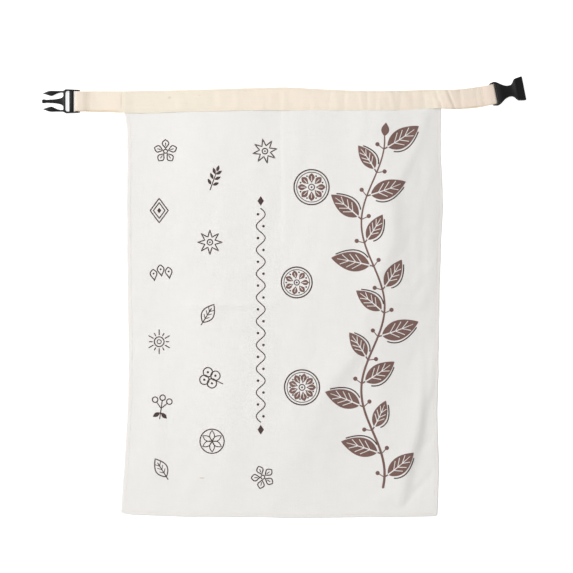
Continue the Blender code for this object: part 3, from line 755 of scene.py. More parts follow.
def tape_relief(x, across, ripple, on_bag):
    """How far the tape's creases and ripples lift it. across is -1 to 1 from edge to edge."""
    total = np.zeros_like(x)
    for upper, lower, width, height in TAPE_CREASES:
        middle = (upper + lower) / 2 + across * (upper - lower) / 2
        total += height * np.exp(-(((x - middle) / width) ** 2) * 2)
    ripples = wander(x / RIPPLE_LENGTH + across * 0.3, across * 0.9, 41)
    edges = np.abs(across) ** 2 * wander(x / EDGE_RIPPLE_LENGTH, across * 0.4, 42)
    total += ripple * (ripples + 0.8 * edges)
    return np.where((total < 0) & on_bag, TROUGHS_ON_BAG * total, total)


def tape_section(half, thickness):
    """One cross-section of the tape: distance across, distance from its middle."""
    edge = thickness / 2
    inner = half - edge
    top = np.linspace(-inner, inner, 19)
    from_row = np.abs(np.abs(top) - (half - TAPE_STITCH_INSET))
    pinch = STITCH_PINCH * np.exp(-((from_row / STITCH_PINCH_REACH) ** 2))
    turn = np.radians((60, 30, 0, -30, -60))
    round_end = np.stack((inner + edge * np.cos(turn), edge * np.sin(turn)), 1)
    upper = np.stack((top, edge - pinch), 1)
    lower = np.stack((top[::-2], -edge + pinch[::-2]), 1)
    return np.concatenate((upper, round_end, lower, round_end * (-1, -1)))


def tape_mesh(thickness, ripple):
    """The tape as one closed tube of cross-sections along its path."""
    line = TapeLine()
    path = tape_path(line)
    normals = path_normals(path)
    points, flat = [], []
    for (along, height), normal, passed in zip(path, normals, walked_along(path)):
        middle, direction = line.at(along)
        half = width_at(line, along, middle, direction) / 2
        section = tape_section(half, thickness)
        from_bar = min(along, line.length - along)
        on_top = ease(from_bar, RELIEF_START, RELIEF_FULL) * (normal[1] > 0.5)
        across = np.array((-direction[1], direction[0]))
        seen = middle + section[:, :1] * across
        on_bag = abs(middle[0]) < right_edge(0.0)
        lift = on_top * tape_relief(seen[:, 0], section[:, 0] / half, ripple, on_bag)
        past_bag = max(left_edge(middle[1]) - middle[0], middle[0] - right_edge(middle[1]))
        beside = on_top * ease(past_bag, 0.0, EDGE_ROLL_START)
        lift -= beside * EDGE_ROLL * ease(-section[:, 0], half - EDGE_ROLL_WIDTH, half)
        out = section[:, 1] + lift
        place_on_bag = seen + np.outer(out * normal[0], direction)
        points.append(np.column_stack((place_on_bag, height + out * normal[1])))
        flat.append(np.column_stack((np.full(len(section), passed), section[:, 0])))
    faces = tube_faces(len(points[0]), len(points))
    return mesh_from(np.concatenate(points), faces, np.concatenate(flat))


# ---------------------------------------------------------------- stitching

THREAD_SIDES = 6
# One stitch: share of its length, height above the cloth in thread thicknesses
STITCH = ((0.04, -0.7), (0.16, 0.18), (0.5, 0.42), (0.84, 0.18), (0.96, -0.7))
SEAM_STITCH_INSET = 4.2  # of the rows beside the side seams
SIDE_ROWS_RISE, SIDE_ROWS_TOP = 4.0, 172.0  # they start above the foot and end under the tape
FOOT_STITCH_INSET = 3.2  # of the row beside the foot
FOOT_ROW_ENDS = (-149.0, 141.0)
# Rows across the tape: distances from the prong's bar, distances from the socket's bar, and the
# place across the bag of the row over its left seam
PRONG_ROWS, SOCKET_ROWS, SEAM_ROW = (10.4, 12.0), (11.0, 12.6), -152.0
ROW_HALF = 0.78  # share of the tape's half width that these rows reach
TAPE_ROWS_START = 4.4  # the long rows start this far from the buckle's bars
# One stitch that joins the panels' edges: height, distance outwards from the edge
JOIN_STITCH = ((1.55, -0.35), (2.0, -0.08), (2.425, 0.02), (2.85, -0.08), (3.3, -0.35))
JOIN_SLANT = 1.1  # distance along the edge from the stitch's foot to its top
# Joined edges: number of stitches, where the first and the last are as shares of the panel's
# width and height, and the direction outwards
JOINED_EDGES = (
    (142, (0.0, 0.01), (0.0, 0.98), (-1.0, 0.0)),
    (106, (0.01, 0.0), (0.99, 0.0), (0.0, -1.0)),
    (142, (1.0, 0.01), (1.0, 0.98), (1.0, 0.0)),
)


def tube(line, across, upwards, radius):
    """Points and faces of a short closed tube along a line of points."""
    turns = np.linspace(0, 2 * math.pi, THREAD_SIDES, endpoint=False)
    ring = np.cos(turns)[:, None] * across + np.sin(turns)[:, None] * upwards
    points = (line[:, None, :] + radius * ring[None]).reshape(-1, 3)
    return points, tube_faces(THREAD_SIDES, len(line))


class Stitches:
    """Gathers stitches, and makes one mesh of them."""

    def __init__(self, thickness, stitch):
        self.thickness, self.stitch = thickness, stitch
        self.points, self.faces, self.count = [], [], 0

    def add(self, line, across, upwards):
        """Adds one stitch along a line of points."""
        points, faces = tube(line, across, upwards, self.thickness / 2)
        self.points.append(points)
        self.faces += [[i + self.count for i in face] for face in faces]
        self.count += len(points)

    def row(self, path, upwards=(0.0, 0.0, 1.0)):
        """Stitches end to end along a path that lies on the cloth."""
        path, upwards = np.asarray(path, float), np.array(upwards)
        walked = walked_along(path)
        count = max(1, round(walked[-1] / self.stitch))
        one = walked[-1] / count
        shares, heights = np.array(STITCH).T
        for start in np.arange(count) * one:
            at = start + shares * one
            line = np.stack([np.interp(at, walked, column) for column in path.T], 1)
            line += (heights * self.thickness)[:, None] * upwards
            across = np.cross(upwards, line[-1] - line[0])
            self.add(line, across / np.linalg.norm(across), upwards)

    def mesh(self):
        return mesh_from(np.concatenate(self.points), self.faces, sharp=math.pi)


def sew_tape(stitches, tape):
    """Two long rows near the tape's edges, and the rows across it."""
    line = TapeLine()
    path = tape_path(line)
    upper = path[path_normals(path)[:, 1] > 0.5]
    far_end = line.length - TAPE_ROWS_START
    upper = upper[(upper[:, 0] > TAPE_ROWS_START) & (upper[:, 0] < far_end)]
    surface = tape.thickness / 2 / MM - STITCH_PINCH

    def on_top(rows, shares):
        """Points on the tape's upper face: path rows, and their shares of its half width."""
        found = []
        for (along, height), share in zip(rows, shares):
            middle, direction = line.at(along)
            half = width_at(line, along, middle, direction) / 2
            x, y = middle + np.array((-direction[1], direction[0])) * share * half
            on_bag = abs(x) < right_edge(0.0)
            lift = tape_relief(np.array([x]), np.array([share]), tape.ripple / MM, on_bag)[0]
            found.append((x, y, height + surface + lift))
        return found

    for side in (-1, 1):
        share = side * (1 - 2 * TAPE_STITCH_INSET / TAPE_WIDTH)
        stitches.row(on_top(upper, [share] * len(upper)))
    shares = np.linspace(-ROW_HALF, ROW_HALF, 12)
    for along in (*PRONG_ROWS, *(line.length - at for at in SOCKET_ROWS), line.from_x(SEAM_ROW)):
        height = float(np.interp(along, upper[:, 0], upper[:, 1])) + 0.1
        stitches.row(on_top([(along, height)] * len(shares), shares))


def sew_seams(stitches):
    """A row beside each side seam and the foot."""
    y = np.linspace(foot_edge(-150.0) + SIDE_ROWS_RISE, SIDE_ROWS_TOP, 360)
    for edge, inwards in ((left_edge, 1), (right_edge, -1)):
        x = edge(y) + inwards * SEAM_STITCH_INSET
        stitches.row(np.stack((x, y, front_top(x, y)), 1))
    x = np.linspace(*FOOT_ROW_ENDS, 280)
    y = foot_edge(x) + FOOT_STITCH_INSET
    stitches.row(np.stack((x, y, front_top(x, y)), 1))


def join_edges(stitches):
    """Slanted stitches over the panels' edges, down both sides and along the foot."""
    heights, out = np.array(JOIN_STITCH).T
    slant = np.linspace(-0.5, 0.5, len(heights)) * JOIN_SLANT
    for count, first, last, outwards in JOINED_EDGES:
        shares = (np.arange(count) + 0.5) / count
        x, y = bag_point(*(a + shares * (b - a) for a, b in zip(first, last)), 0.0, 0.0, 0.0)
        outwards = np.array((*outwards, 0.0))
        along = np.abs(outwards[[1, 0, 2]])
        stitch = np.outer(slant, along) + np.outer(out, outwards) + np.outer(heights, (0, 0, 1))
        for place in zip(x, y, np.zeros(count)):
            stitches.add(place + stitch, along, outwards)


# ---------------------------------------------------------------- printed ornament

SOLID, LINE = "ornament_solids", "ornament_lines"  # the two inks, one mesh each
POINT_STEP = 1.1  # between the points of an outline


def loop_round(points, widths, closed):
    """The outline of a stroke of varying width along a line of points."""
    points = np.asarray(points, float)
    if closed:
        ahead, behind = np.roll(points, -1, axis=0), np.roll(points, 1, axis=0)
        direction = ahead - behind
    else:
        direction = np.gradient(points, axis=0)
    direction /= np.linalg.norm(direction, axis=1, keepdims=True)
    across = np.stack((-direction[:, 1], direction[:, 0]), 1)
    half = np.broadcast_to(np.asarray(widths, float) / 2, len(points))[:, None]
    if closed:
        return [points + across * half, points - across * half]
    tips = [points[-1] + direction[-1] * half[-1] * 0.8, points[0] - direction[0] * half[0] * 0.8]
    right, left = points - across * half, points + across * half
    return [np.concatenate((right, tips[:1], left[::-1], tips[1:]))]


def circle(cx, cy, radius, step=POINT_STEP):
    """Points round a circle."""
    count = max(10, round(2 * math.pi * radius / step))
    turns = np.linspace(0, 2 * math.pi, count, endpoint=False)
    return np.stack((cx + radius * np.cos(turns), cy + radius * np.sin(turns)), 1)


def between(start, end):
    """Points along a straight line."""
    start, end = np.array(start, float), np.array(end, float)
    count = max(2, round(np.linalg.norm(end - start) / POINT_STEP) + 1)
    return start + np.linspace(0, 1, count)[:, None] * (end - start)


def polygon(corners):
    """Points along the sides of a closed outline with these corners."""
    sides = [between(*ends)[:-1] for ends in zip(corners, np.roll(corners, -1, axis=0))]
    return np.concatenate(sides)


def lozenge(half_length, half_width):
    return np.array(((half_length, 0), (0, half_width), (-half_length, 0), (0, -half_width)))


def petal(length, width, base=0.0, lean=1.0):
    """A pointed oval along +X. A lean below 1 moves its widest place towards its base."""
    t = np.linspace(0, 1, max(9, round(length / POINT_STEP)))
    half = width / 2 * np.sin(math.pi * t**lean)
    upper = np.stack((base + t * length, half), 1)
    return np.concatenate((upper, (upper * (1, -1))[-2:0:-1]))


def turned(points, degrees, x=0.0, y=0.0):
    """The points turned about the middle, and then moved by x and y."""
    c, s = math.cos(math.radians(degrees)), math.sin(math.radians(degrees))
    return np.asarray(points) @ np.array(((c, s), (-s, c))) + (x, y)


def all_round(count):
    """Spots that turn about one middle: x, y, turn."""
    return [(0.0, 0.0, 360 * k / count) for k in range(count)]


class Ornament:
    """Strokes of ink in order. Each adds ink inside its loops, or leaves the cloth bare there."""

    def __init__(self, line_width):
        self.line_width = line_width
        self.strokes = {SOLID: [], LINE: []}
        self.spot = (0.0, 0.0, 0.0)

    def at(self, x, y, turn=0.0):
        """What is drawn next has its own middle here."""
        self.spot = (x, y, turn)
        return self

    def spots(self, rows):
        """Goes to x, y and turn of each row, seen from the spot it is at, and back at the end."""
        x, y, turn = self.spot
        for right, up, more in rows:
            yield self.at(*turned(((right, up),), turn, x, y)[0], turn + more)
        self.at(x, y, turn)

    def fill(self, loops, ink=SOLID, bare=False):
        """Inks the inside of these loops, or leaves it bare."""
        x, y, turn = self.spot
        self.strokes[ink].append((not bare, [turned(loop, turn, x, y) for loop in loops]))

    def line(self, points, width=None, closed=False, ink=LINE, bare=False):
        """Inks a line, of the thin lines' width unless another is given."""
        width = self.line_width if width is None else width
        self.fill(loop_round(points, width, closed), ink, bare)

    def dot(self, x, y, radius, ink=LINE):
        self.fill([circle(x, y, radius, step=0.7)], ink)


def big_leaf(art, length, width):
    """A solid leaf with bare veins, and a thin line that shadows its lower edge."""
    t = np.linspace(0, 1, 40)
    bend = 2.2 * t * t
    half = width / 2 * np.sin(math.pi * t**0.8) ** 0.85
    upper = np.stack((t * length, bend + half), 1)
    lower = np.stack((t * length, bend - half), 1)
    art.fill([np.concatenate((upper, lower[-2:0:-1]))])
    rib = t < 0.86
    art.line(np.stack((t * length, bend), 1)[rib], 1.3 - 0.9 * t[rib], bare=True, ink=SOLID)
    for start in (0.2, 0.37, 0.54):
        i = int(start * len(t))
        j = min(i + 8, len(t) - 1)
        for side in (-1, 1):
            out = bend[j] + side * 0.74 * half[j]
            vein = between((t[i] * length, bend[i]), (t[j] * length, out))
            art.line(vein, 0.75, bare=True, ink=SOLID)
    shadow = (t > 0.10) & (t < 0.93)
    art.line(np.stack((t * length - 0.6, bend - half - 2.0), 1)[shadow], 1.15)


def rosette(art, radius, petals):
    """Petals round a dotted heart, inside a thin double ring."""
    art.line(circle(0, 0, radius), 1.2, closed=True)
    art.line(circle(0, 0, radius - 2.4), 0.7, closed=True)
    beside_petal = turned(((radius * 0.68, 0),), 180 / petals)[0]
    for _ in art.spots(all_round(petals)):
        art.fill([petal(radius * 0.56, radius * 0.36, base=radius * 0.24, lean=1.3)])
        art.line(between((radius * 0.36, 0), (radius * 0.62, 0)), 0.7, bare=True, ink=SOLID)
        art.dot(*beside_petal, 0.8)
    art.line(circle(0, 0, radius * 0.17), 0.9, closed=True)
    art.dot(0, 0, 0.9)


def blossom(art):
    for _ in art.spots(all_round(5)):
        art.line(petal(8.2, 6.2, base=2.8, lean=1.25), closed=True)
        art.line(between((5.0, 0), (8.0, 0)), 0.8)
    art.line(circle(0, 0, 1.9), closed=True)


def eight_star(art):
    turns = np.radians(np.arange(16) * 22.5)
    radii = np.where(np.arange(16) % 2, 5.2, 11.6)
    art.line(polygon(np.stack((radii * np.cos(turns), radii * np.sin(turns)), 1)), closed=True)
    art.line(circle(0, 0, 2.6), closed=True)
    art.dot(0, 0, 0.8)


def sprig(art):
    art.line(between((-11.5, 0), (6.0, 0)), 0.9)
    leaves = ((-7.0, 48), (-7.0, -48), (-1.5, 44), (-1.5, -44), (3.5, 36), (3.5, -36), (6.0, 0))
    for _ in art.spots([(start, 0.0, lean) for start, lean in leaves]):
        art.fill([petal(6.4, 2.9, base=1.2, lean=0.9)], LINE)


def sunburst(art):
    art.line(circle(0, 0, 4.6), closed=True)
    art.line(circle(0, 0, 2.0), 0.8, closed=True)
    for k in range(12):
        outer = 11.4 if k % 2 else 9.2
        art.line(turned(between((6.4, 0), (outer, 0)), 30 * k), 1.0)


def drops(art):
    for _ in art.spots(((-7.2, 0.0, 90), (0.0, 3.2, 90), (7.2, 0.0, 90))):
        art.line(petal(11.0, 6.4, base=-5.5, lean=1.5), closed=True)
        art.dot(1.4, 0, 0.9)


def veined_leaf(art):
    art.line(petal(20, 11.5, base=-9.0, lean=0.85), closed=True)
    art.line(between((-12.0, 0), (6.5, 0)), 0.9)
    for start in (-5.0, -1.0, 3.0):
        for side in (-1, 1):
            art.line(between((start, 0), (start + 3.2, side * 3.0)), 0.7)


def lozenges(art):
    for size in (11.5, 7.4):
        art.line(polygon(lozenge(size, size * 0.74)), closed=True)
    art.fill([lozenge(2.6, 2.0)], LINE)


def berries(art):
    for end in ((-11, 0), (4.6, 5.2), (6.4, 0), (4.6, -5.2)):
        art.line(between((-1, 0), end), 0.9)
    for centre in ((6.4, 6.8), (9.2, 0), (6.4, -6.8)):
        art.line(circle(*centre, 2.6), closed=True)
    for side in (1, -1):
        art.fill([turned(petal(8.0, 4.0), side * 128, -5.0, side * 0.4)], LINE)


def six_petals(art):
    art.line(circle(0, 0, 11.4), closed=True)
    for k in range(6):
        art.line(turned(petal(10.2, 4.6), 60 * k + 30), 0.85, closed=True)


def clover(art):
    for k in range(4):
        centre = turned(((5.6, 0),), 90 * k)[0]
        art.line(circle(*centre, 4.4), closed=True)
        art.dot(*centre, 1.1)
    art.line(between((3.0, -3.0), (9.6, -9.6)), 0.9)


# Small ornaments: kind, x, y, turn
SMALL_ORNAMENTS = (
    (blossom, -112.0, 138.0, 18.0),
    (sprig, -66.0, 112.0, 70.0),
    (lozenges, -118.0, 82.0, 90.0),
    (eight_star, -70.0, 52.0, 0.0),
    (drops, -116.0, 22.0, 8.0),
    (veined_leaf, -72.0, -16.0, 58.0),
    (sunburst, -118.0, -42.0, 0.0),
    (clover, -70.0, -76.0, 20.0),
    (berries, -116.0, -104.0, 82.0),
    (six_petals, -68.0, -136.0, 0.0),
    (veined_leaf, -116.0, -162.0, 122.0),
    (blossom, -20.0, -170.0, 40.0),
    (eight_star, -18.0, 138.0, 11.0),
)
# Rosettes: x, y, radius, petals
ROSETTES = ((26.0, 104.0, 16.5, 8), (12.0, 14.0, 14.5, 7), (17.0, -85.0, 16.5, 9))
VINE_X, VINE_TOP, VINE_FOOT, VINE_LEAVES = 84.0, 152.0, -180.0, 15
VINE_SWING, VINE_WAVES, VINE_PHASE = 11.0, 2.1, 60.0  # swing, number of waves, start in degrees
GARLAND_X, GARLAND_TOP, GARLAND_FOOT, GARLAND_BENDS = -22.0, 84.0, -118.0, 18


def vine_point(t):
    """The stem's place at this share of its height."""
    x = VINE_X + VINE_SWING * np.sin(2 * math.pi * VINE_WAVES * t + math.radians(VINE_PHASE))
    return np.stack((x, VINE_FOOT + t * (VINE_TOP - VINE_FOOT)), -1)


def vine(art):
    """A winding stem with a large leaf on alternate sides, berries and a leaf at its tip."""
    t = np.linspace(0, 1, 300)
    art.at(0, 0).line(vine_point(t), 2.3 - 1.0 * t, ink=SOLID)
    for k in range(VINE_LEAVES):
        at = (k + 0.45) / VINE_LEAVES
        base, ahead = vine_point(at), vine_point(at + 0.01)
        heading = math.degrees(math.atan2(*(ahead - base)[::-1]))
        side = 1 if k % 2 else -1
        size = 0.86 + 0.14 * math.sin(k * 2.3)
        art.at(*base, heading + side * 52)
        art.line(between((0.6, 0), (5.0, 0)), 1.3, ink=SOLID)
        for _ in art.spots(((4.2, 0.0, 0.0),)):
            big_leaf(art, 37.0 * size, 18.5 * size)
        art.at(*base, heading - side * 60)
        art.line(between((0.8, 0), (6.0, 0)), 0.9, ink=SOLID)
        art.dot(7.6, 0, 2.0, SOLID)
    art.at(*vine_point(1.0), 84).fill([petal(13, 7.5, lean=0.9)])


def garland(art):
    """A thin wavy line with dots in its bends and a small lozenge at each end."""
    t = np.linspace(0, 1, 190)
    y = GARLAND_TOP + t * (GARLAND_FOOT - GARLAND_TOP)
    x = GARLAND_X + 4.2 * np.sin(t * GARLAND_BENDS * math.pi)
    art.at(0, 0).line(np.stack((x, y), 1), 0.95)
    for k in range(GARLAND_BENDS):
        centre = GARLAND_TOP + (k + 0.5) / GARLAND_BENDS * (GARLAND_FOOT - GARLAND_TOP)
        art.dot(GARLAND_X + (2.6 if k % 2 else -2.6), centre, 1.25)
    for end in (GARLAND_TOP + 7, GARLAND_FOOT - 7):
        art.at(GARLAND_X, end, 90).fill([lozenge(4.6, 3.0)], LINE)


def inside_loops(loops, points):
    """Which points lie inside an odd number of the loops."""
    inside = np.zeros(len(points), bool)
    for loop in loops:
        x0, y0 = loop.T
        x1, y1 = np.roll(loop, -1, axis=0).T
        low, high = loop.min(0), loop.max(0)
        near = np.flatnonzero(((points > low) & (points < high)).all(1))
        px, py = points[near, :1], points[near, 1:]
        crosses = (y0 > py) != (y1 > py)
        rise = np.where(y1 == y0, 1.0, y1 - y0)
        hits = crosses & (px < (x1 - x0) * (py - y0) / rise + x0)
        inside[near] ^= hits.sum(1) % 2 == 1
    return inside


def inked(strokes, points):
    """Which points have ink after all the strokes."""
    covered = np.zeros(len(points), bool)
    for adds, loops in strokes:
        inside = inside_loops(loops, points)
        covered = covered | inside if adds else covered & ~inside
    return covered


def film_mesh(strokes, cell, film):
    """A thin film of ink over these strokes, on the folds of the cloth."""
    loops = [loop for _, drawn in strokes for loop in drawn]
    points, edges = [], []
    for loop in loops:
        start = len(points)
        points += loop.tolist()
        edges += [(start + i, start + (i + 1) % len(loop)) for i in range(len(loop))]
    low, high = np.concatenate(loops).min(0), np.concatenate(loops).max(0)
    x, y = np.meshgrid(np.arange(low[0], high[0], cell), np.arange(low[1], high[1], cell))
    x[1::2] += cell / 2
    inner = np.stack((x.ravel(), y.ravel()), 1)
    points += inner[inked(strokes, inner)].tolist()
    flat, _, faces, *_ = delaunay_2d_cdt(points, edges, [], 0, 1e-5, False)
    flat, faces = np.array([tuple(p) for p in flat]), np.array([f[:3] for f in faces])
    kept = faces[inked(strokes, flat[faces].mean(1))]
    used, kept = np.unique(kept, return_inverse=True)
    flat, kept = flat[used], kept.reshape(-1, 3)
    height = front_top(*flat.T)
    top, root = (np.column_stack((flat, height + lift)) for lift in (film, -0.05))
    return skinned(top, root, kept.tolist(), flat)


# ---------------------------------------------------------------- buckle

# Prong half: its own X runs out from the bag along the tape, from the centre of its bar
PLATE = (6.6, 13.0)  # the plate that holds the free slot
CROSS_BAR = (3.1, 6.9)
CROSS_BAR_INSET = 0.4  # it is this much thinner on both faces
IN_RAIL = 10.3  # half width of the plate and the bars, whose ends lie inside the rails
# Free slot: distance from the bar, half width
FREE_SLOT = (
    (7.25, 9.5),
    (7.6, 9.85),
    (8.2, 9.98),
    (9.0, 9.95),
    (9.9, 9.6),
    (10.6, 8.9),
    (11.1, 7.9),
)
# Rail: distance from the bar, inner side, outer side, lowest, highest
PRONG_RAIL = (
    (-2.9, 9.9, 10.5, 1.2, 4.0),
    (-2.0, 9.8, 10.7, 0.5, 4.7),
    (-0.5, 9.8, 10.9, 0.05, 5.15),
    (4.0, 9.8, 11.1, 0.05, 5.15),
    (10.9, 9.7, 11.4, 0.05, 5.15),
    (11.8, 9.5, 10.6, 0.05, 5.15),
    (12.9, 9.3, 9.7, 0.2, 5.0),
)
GUIDE_LOW, GUIDE_HIGH = 0.9, 4.3
# Guide: distance beyond the plate, half width
PRONG_GUIDE = (
    (-0.6, 5.7),
    (0.1, 4.9),
    (0.6, 4.2),
    (1.5, 3.45),
    (3.0, 2.8),
    (4.9, 2.4),
    (7.7, 1.95),
    (12.4, 1.65),
    (16.8, 1.55),
    (17.7, 1.75),
    (19.4, 1.78),
    (20.2, 1.5),
)
# Spring arm: distance beyond the plate, inner side, outer side, lowest, highest
PRONG_ARM = (
    (-0.6, 6.8, 9.8, 0.9, 4.3),
    (0.2, 7.9, 9.8, 0.9, 4.3),
    (1.1, 8.3, 9.8, 0.9, 4.3),
    (3.0, 8.15, 9.8, 0.9, 4.3),
    (4.9, 7.7, 9.8, 0.9, 4.3),
    (6.8, 7.0, 9.8, 0.8, 4.4),
    (8.6, 6.1, 9.85, 0.6, 4.6),
    (10.2, 5.35, 9.9, 0.6, 4.6),
    (11.4, 5.05, 9.9, 0.6, 4.6),
    (12.8, 5.3, 9.75, 0.6, 4.6),
    (14.4, 5.8, 9.45, 0.6, 4.6),
    (16.3, 6.4, 8.7, 0.8, 4.4),
    (19.4, 7.3, 7.6, 1.1, 4.1),
)

# Socket half: the same, from the point where the tape meets its body
# Waist: distance along the half, half width
SOCKET_WAIST = (
    (-0.3, 11.0),
    (2.2, 10.3),
    (4.6, 8.6),
    (6.8, 7.05),
    (9.4, 5.8),
    (11.2, 5.35),
    (13.4, 5.3),
    (15.3, 5.9),
    (16.7, 7.3),
    (17.7, 8.9),
)
# Mouth block: the same, but drawn straight
SOCKET_BLOCK = ((18.4, 9.95), (18.9, 10.35), (19.7, 10.55), (25.4, 11.5), (26.4, 11.4))
# Hooks beside the tape: distance along the half, inner side, outer side, lowest, highest
SOCKET_HOOK = (
    (-5.6, 9.8, 10.0, 2.4, 5.6),
    (-4.8, 9.8, 10.5, 1.3, 6.7),
    (-3.0, 9.8, 11.0, 0.4, 7.6),
    (-1.2, 9.8, 11.25, 0.1, 7.9),
    (0.5, 9.7, 11.15, 0.1, 7.9),
    (2.6, 8.8, 9.9, 0.1, 7.9),
)
IN_HOOK = 10.3  # the bar for the tape ends inside the hooks
WAIST_DIP = 0.22  # the waist is this much thinner on top
WAIST_DIP_START, WAIST_DIP_END = (4.5, 9.0), (13.0, 18.4)
SOCKET_WALL = 1.6  # top and bottom plates
SOCKET_ROUNDING, HOLLOW_ROUNDING = 0.75, 0.7
# Hollow: distance along the half, half width
SIDE_WINDOWS = ((6.5, 14.0), (17.4, 14.0))
WAY_IN = ((16.9, 8.8), (27.5, 9.8))
# Sunk panels on both faces of the mouth block: distance along the half, half width
SUNK_PANEL = ((19.9, 9.2), (25.2, 9.9))
PANEL_DEPTH, PANEL_CORNER = 0.28, 0.9
RAMP_DEPTH, RAMP_END = 0.7, 6.0  # both faces slope down this far towards the tape


def deselected():
    """Leaves edit mode, with nothing selected."""
    if bpy.context.mode != "OBJECT":
        bpy.ops.object.mode_set(mode="OBJECT")
    bpy.ops.object.select_all(action="DESELECT")


def selected(piece):
    """Makes this the active object, and the only one that is selected."""
    deselected()
    bpy.context.view_layer.objects.active = piece
    piece.select_set(True)


def lofted(rows):
    """A closed bar through upright sections: along, one side, the other side, lowest, highest.

    A plane is added as the first section, and extruded and resized through the others.
    """
    rows = [[value * MM for value in row] for row in rows]
    middles = [(along, (near + far) / 2, (low + high) / 2) for along, near, far, low, high in rows]
    sizes = [(abs(far - near), high - low) for _, near, far, low, high in rows]
    deselected()
    upright = (0.0, math.pi / 2, 0.0)
    bpy.ops.mesh.primitive_plane_add(size=MM, location=middles[0], rotation=upright)
    bpy.ops.object.transform_apply()
    bpy.ops.object.mode_set(mode="EDIT")
    bpy.ops.mesh.select_all(action="SELECT")
    here, size = middles[0], (MM, MM)
    for middle, new_size in zip(middles, sizes):
        step = [after - before for after, before in zip(middle, here)]
        if step[0]:
            bpy.ops.mesh.extrude_region_move(TRANSFORM_OT_translate={"value": step})
        grown = [after / before for after, before in zip(new_size, size)]
        bpy.ops.transform.resize(value=(1.0, *grown), center_override=middle)
        here, size = middle, new_size
    bpy.ops.mesh.select_all(action="SELECT")
    bpy.ops.mesh.normals_make_consistent(inside=False)
    bpy.ops.object.mode_set(mode="OBJECT")
    return bpy.context.object


def block(x, half, low, high):
    """A straight block from the first x to the second."""
    return lofted([(at, -half, half, low, high) for at in x])


def modified(piece, kind, **settings):
    """Applies one modifier with these settings."""
    selected(piece)
    change = piece.modifiers.new(kind.lower(), kind)
    for name, value in settings.items():
        setattr(change, name, value)
    bpy.ops.object.modifier_apply(modifier=change.name)
    return piece


def softened(piece, width):
    """Rounds the piece's sharp edges."""
    return modified(piece, "BEVEL", width=width * MM, segments=3, limit_method="ANGLE",
                    angle_limit=math.radians(40), harden_normals=False)


def combined(base, other, operation):
    """Joins the other piece to the base, or cuts it out, and deletes it."""
    modified(base, "BOOLEAN", operation=operation, object=other, solver="MANIFOLD")
    bpy.data.objects.remove(other)
    return base


def tape_bar(x, height, half):
    """A round bar across the buckle half."""
    deselected()
    bpy.ops.mesh.primitive_cylinder_add(
        vertices=28, radius=BAR_RADIUS * MM, depth=2 * half * MM,
        location=(x * MM, 0.0, height * MM), rotation=(math.pi / 2, 0.0, 0.0),
    )
    bpy.ops.object.transform_apply()
    return bpy.context.object


def round_upright_edges(piece, radius):
    """Rounds the corners that a block shows from above, in edit mode."""
    selected(piece)
    mesh = piece.data
    mesh.polygons.foreach_set("select", [False] * len(mesh.polygons))
    mesh.vertices.foreach_set("select", [False] * len(mesh.vertices))
    for edge in mesh.edges:
        a, b = (mesh.vertices[i].co for i in edge.vertices)
        edge.select = (a - b).xy.length < 1e-6
    bpy.context.tool_settings.mesh_select_mode = (False, True, False)
    bpy.ops.object.mode_set(mode="EDIT")
    bpy.ops.mesh.bevel(offset=radius * MM, segments=5, affect="EDGES")
    bpy.ops.object.mode_set(mode="OBJECT")
    return piece


def drawn_through(table, step):
    """Rows about this far apart that run smoothly through the rows of a table."""
    start, end = table[0][0], table[-1][0]
    along = np.linspace(start, end, round((end - start) / step) + 1)
    columns = [smooth_through(table, column, along) for column in range(1, len(table[0]))]
    return np.column_stack((along, *columns)).tolist()


def shifted(rows, by, side=1):
    """Rows of a part beside the middle line, further along, on this side of it."""
    return [(at + by, side * near, side * far, low, high) for at, near, far, low, high in rows]


def centred(rows, low, high):
    """Rows of distance and half width as the rows of a loft."""
    return [(at, -half, half, low, high) for at, half in rows]


def prong_half(rounding):
    """Two rails, a plate with the free slot, two bars, the guide and the spring arms."""
    body = softened(block(PLATE, IN_RAIL, 0.0, PRONG_HEIGHT), rounding)
    combined(body, lofted(centred(FREE_SLOT, -1.0, PRONG_HEIGHT + 1)), "DIFFERENCE")
    low, high = CROSS_BAR_INSET, PRONG_HEIGHT - CROSS_BAR_INSET
    combined(body, softened(block(CROSS_BAR, IN_RAIL, low, high), 2.2 * rounding), "UNION")
    guide = [(PLATE[1] + at, half) for at, half in drawn_through(PRONG_GUIDE, 0.6)]
    guide = lofted(centred(guide, GUIDE_LOW, GUIDE_HIGH))
    combined(body, softened(guide, rounding), "UNION")
    arm = drawn_through(PRONG_ARM, 0.8)
    for side in (1, -1):
        combined(body, softened(lofted(shifted(PRONG_RAIL, 0.0, side)), rounding), "UNION")
        combined(body, softened(lofted(shifted(arm, PLATE[1], side)), rounding), "UNION")
    combined(body, tape_bar(0.0, PRONG_BAR[2], IN_RAIL), "UNION")
    body.location = (PRONG_BAR[0] * MM, PRONG_BAR[1] * MM, 0.0)
    body.rotation_euler = (0.0, 0.0, math.pi)
    return body


